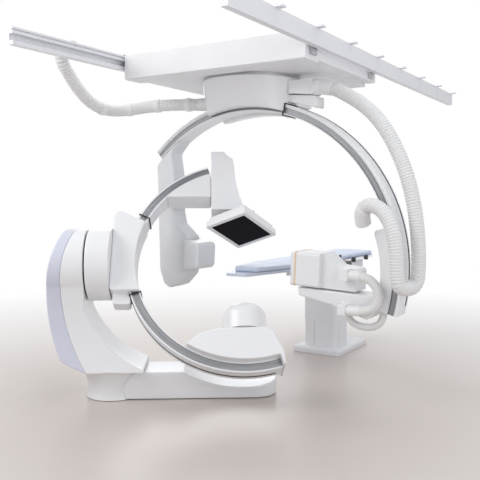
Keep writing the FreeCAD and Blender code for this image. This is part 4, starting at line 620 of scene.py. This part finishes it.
# seals, seams and small parts
ringTurn = Matrix(((0.82264, -0.30129, 0.48217), (0.56856, 0.43593, -0.69764),
                   (0.0, 0.84805, 0.52992))).to_4x4()
ringPlace = Matrix.Translation(ringCentre) @ ringTurn
lateralTilt = math.radians(-2.5)
lateralTurn = Matrix.Rotation(math.radians(90), 4, "X") @ Matrix.Rotation(lateralTilt, 4, "Z")
lateralPlace = Matrix.Translation(lateralCentre) @ lateralTurn
sealLook = {
    "border": 0.010, "lip": 0.001, "thickness": 0.010, "round": 0.002,
    "seals": {
        "lowerArcSeal": {"place": ringPlace, "angle": 199.0, "inner": 0.871, "outer": 0.952,
                         "halfWidth": 0.083, "body": "arc_carriage"},
        "upperArcSeal": {"place": ringPlace, "angle": 153.5, "inner": 0.871, "outer": 0.952,
                         "halfWidth": 0.083, "body": "arc_carriage"},
        "rightHeadSeal": {"place": lateralPlace, "angle": 76.5, "inner": 1.258, "outer": 1.340,
                          "halfWidth": 0.100, "body": "swivel_head"},
    },
}


def arcSeal(name, look):
    # black brush seal around an arc where it goes into its guide
    bpy.ops.object.select_all(action="DESELECT")
    bpy.ops.mesh.primitive_plane_add(size=1)
    seal = bpy.context.object
    border = sealLook["border"]
    inner, outer = look["inner"], look["outer"]
    seal.scale = (outer - inner + 2 * border, 2 * (look["halfWidth"] + border), 1)
    bpy.ops.object.transform_apply(location=False, rotation=False, scale=True)
    bpy.ops.object.mode_set(mode="EDIT")
    bpy.ops.mesh.select_all(action="SELECT")
    bpy.ops.mesh.inset(thickness=border - sealLook["lip"])
    bpy.ops.mesh.delete(type="FACE")
    bpy.ops.object.mode_set(mode="OBJECT")
    applied(seal, "SOLIDIFY", {"thickness": sealLook["thickness"], "offset": 0})
    applied(seal, "BEVEL", {"width": sealLook["round"], "segments": 2})
    along = Matrix.Rotation(math.radians(look["angle"]), 4, "Z")
    outwards = Matrix.Translation(((inner + outer) / 2, 0, 0))
    seal.matrix_world = look["place"] @ along @ outwards @ Matrix.Rotation(math.radians(90), 4, "X")
    finishPiece(seal, name, "darkTrim", look["body"])


for sealName, look in sealLook["seals"].items():
    arcSeal(sealName, look)

# the skirt slides over the seams with 0.3 mm to spare
seamLook = {"width": 0.003, "depth": 0.003, "proud": 0.0002, "middle": 0.196, "height": 0.262,
            "round": 0.0001, "frontShift": -0.060, "sideShift": -0.070}
shroudLook = {"x": -0.092, "y": 1.860, "halfWidth": 0.180, "halfLength": 0.168}
seamInset = seamLook["depth"] / 2 - seamLook["proud"]
frontSeam = (shroudLook["x"] + seamLook["frontShift"], shroudLook["y"] - shroudLook["halfLength"] + seamInset)
sideSeam = (shroudLook["x"] + shroudLook["halfWidth"] - seamInset, shroudLook["y"] + seamLook["sideShift"])
for seamName, (x, y), sizeX, sizeY in (("shroudSeam1", frontSeam, seamLook["width"], seamLook["depth"]),
                                       ("shroudSeam2", sideSeam, seamLook["depth"], seamLook["width"])):
    roundedBlock(seamName, (x, y, seamLook["middle"]), (sizeX, sizeY, seamLook["height"]), seamLook["round"],
                 "seamGrey", "building")

keyLook = {"size": (0.016, 0.011, 0.005), "pitch": 0.022, "columns": 4, "rows": (1.492, 1.508, 1.592),
           "left": 0.204, "top": 0.9925, "round": 0.0015}
for row, rowPlace in enumerate(keyLook["rows"]):
    for column in range(keyLook["columns"]):
        place = (keyLook["left"] + column * keyLook["pitch"], rowPlace, keyLook["top"])
        roundedBlock(f"controlKey{row + 1}{column + 1}", place, keyLook["size"], keyLook["round"],
                     "whiteCover", "table_top")

clampLook = {"along": (1.30, 1.95, 2.30), "across": 0.182, "height": 0.972, "size": (0.030, 0.042, 0.052),
             "round": 0.004}
for number, along in enumerate(clampLook["along"]):
    place = (clampLook["across"], along, clampLook["height"])
    roundedBlock(f"railClamp{number + 1}", place, clampLook["size"], clampLook["round"], "controlBlack",
                 "table_top")
print("small parts made")

# camera, light and floor
sceneNow = bpy.context.scene
sceneNow.view_settings.view_transform = "Standard"
cameraLook = {"place": (2.938, -4.750, 1.611), "turn": (86.54, 0, 31.95), "lens": 50.79, "sensor": 36}
cameraData = bpy.data.cameras.new("photoCamera")
cameraData.sensor_width = cameraLook["sensor"]
cameraData.lens = cameraLook["lens"]
camera = bpy.data.objects.new("photoCamera", cameraData)
camera.location = cameraLook["place"]
camera.rotation_euler = [math.radians(turn) for turn in cameraLook["turn"]]
sceneNow.collection.objects.link(camera)
sceneNow.camera = camera

lampLooks = {
    "keyLamp": {"place": (-3.5, -5.5, 5.5), "target": (0, 0, 1.0), "size": 4.5, "power": 230,
                "colour": (1, 0.99, 0.97)},
    "fillLamp": {"place": (6.0, -3.0, 3.2), "target": (0, 0, 1.2), "size": 4.0, "power": 110,
                 "colour": (0.96, 0.98, 1)},
    "topLamp": {"place": (0.5, 1.0, 6.5), "target": (0, 0.5, 1.0), "size": 5.0, "power": 130,
                "colour": (1, 1, 1)},
    "backLamp": {"place": (-4.5, 5.5, 4.0), "target": (0, 0.5, 1.2), "size": 4.0, "power": 90,
                 "colour": (0.97, 0.98, 1)},
}
for lampName, look in lampLooks.items():
    lampData = bpy.data.lights.new(lampName, "AREA")
    lampData.size = look["size"]
    lampData.energy = look["power"]
    lampData.color = look["colour"]
    lamp = bpy.data.objects.new(lampName, lampData)
    lamp.location = look["place"]
    lamp.rotation_euler = (Vector(look["target"]) - Vector(look["place"])).to_track_quat("-Z", "Y").to_euler()
    sceneNow.collection.objects.link(lamp)


def seenDirectly(tree):
    rays = tree.nodes.new("ShaderNodeLightPath")
    seen = calculate(tree, "MAXIMUM", rays.outputs["Is Camera Ray"], rays.outputs["Is Glossy Ray"])
    return calculate(tree, "MAXIMUM", seen, rays.outputs["Is Transmission Ray"])


worldLook = {"ambientColour": (0.93, 0.95, 1.0, 1), "ambientPower": 0.50, "seenColour": (1, 1, 1, 1),
             "seenPower": 1.0}
worldNow = bpy.data.worlds.new("studioWorld")
worldNow.use_nodes = True
sceneNow.world = worldNow
worldTree = worldNow.node_tree
ambient = worldTree.nodes["Background"]
ambient.inputs["Color"].default_value = worldLook["ambientColour"]
ambient.inputs["Strength"].default_value = worldLook["ambientPower"]
backdrop = worldTree.nodes.new("ShaderNodeBackground")
backdrop.inputs["Color"].default_value = worldLook["seenColour"]
backdrop.inputs["Strength"].default_value = worldLook["seenPower"]
chooser = worldTree.nodes.new("ShaderNodeMixShader")
worldTree.links.new(seenDirectly(worldTree), chooser.inputs[0])
worldTree.links.new(ambient.outputs[0], chooser.inputs[1])
worldTree.links.new(backdrop.outputs[0], chooser.inputs[2])
worldTree.links.new(chooser.outputs[0], worldTree.nodes["World Output"].inputs["Surface"])

floorLook = {"size": 60, "drop": 0.002, "near": (0.60, 0.540, 0.500), "far": (0.95, 0.94, 0.935),
             "fadeFrom": 1.6, "fadeTo": 7.0, "smudgeScale": 1.5, "roughness": (0.28, 0.32),
             "specular": 0.22, "glowFade": 1.6}
bpy.ops.mesh.primitive_plane_add(size=floorLook["size"], location=(0, 0, -floorLook["drop"]))
floor = bpy.context.object
floor.name = "studioFloor"
floorFinish, floorTree, floorShader, floorPlace = newFinish("studioFloorFinish")
distanceAlong = floorTree.nodes.new("ShaderNodeVectorMath")
distanceAlong.operation = "LENGTH"
floorTree.links.new(floorPlace, distanceAlong.inputs[0])
fade = spread(floorTree, distanceAlong.outputs["Value"], 0.0, 1.0, floorLook["fadeFrom"], floorLook["fadeTo"])
floorColour = blendColours(floorTree, fade, floorLook["near"], floorLook["far"])
floorTree.links.new(floorColour, floorShader.inputs["Base Color"])
floorSmudges = noiseOn(floorTree, floorPlace, floorLook["smudgeScale"])
floorTree.links.new(spread(floorTree, floorSmudges, *floorLook["roughness"]), floorShader.inputs["Roughness"])
floorShader.inputs["Specular IOR Level"].default_value = floorLook["specular"]
glow = floorTree.nodes.new("ShaderNodeEmission")
glow.inputs["Color"].default_value = (1, 1, 1, 1)
floorMix = floorTree.nodes.new("ShaderNodeMixShader")
glowShare = calculate(floorTree, "MULTIPLY", seenDirectly(floorTree),
                      calculate(floorTree, "POWER", fade, floorLook["glowFade"]))
floorTree.links.new(glowShare, floorMix.inputs[0])
floorTree.links.new(floorShader.outputs[0], floorMix.inputs[1])
floorTree.links.new(glow.outputs[0], floorMix.inputs[2])
floorTree.links.new(floorMix.outputs[0], floorTree.nodes["Material Output"].inputs["Surface"])
floor.data.materials.append(floorFinish)
print("stage set")
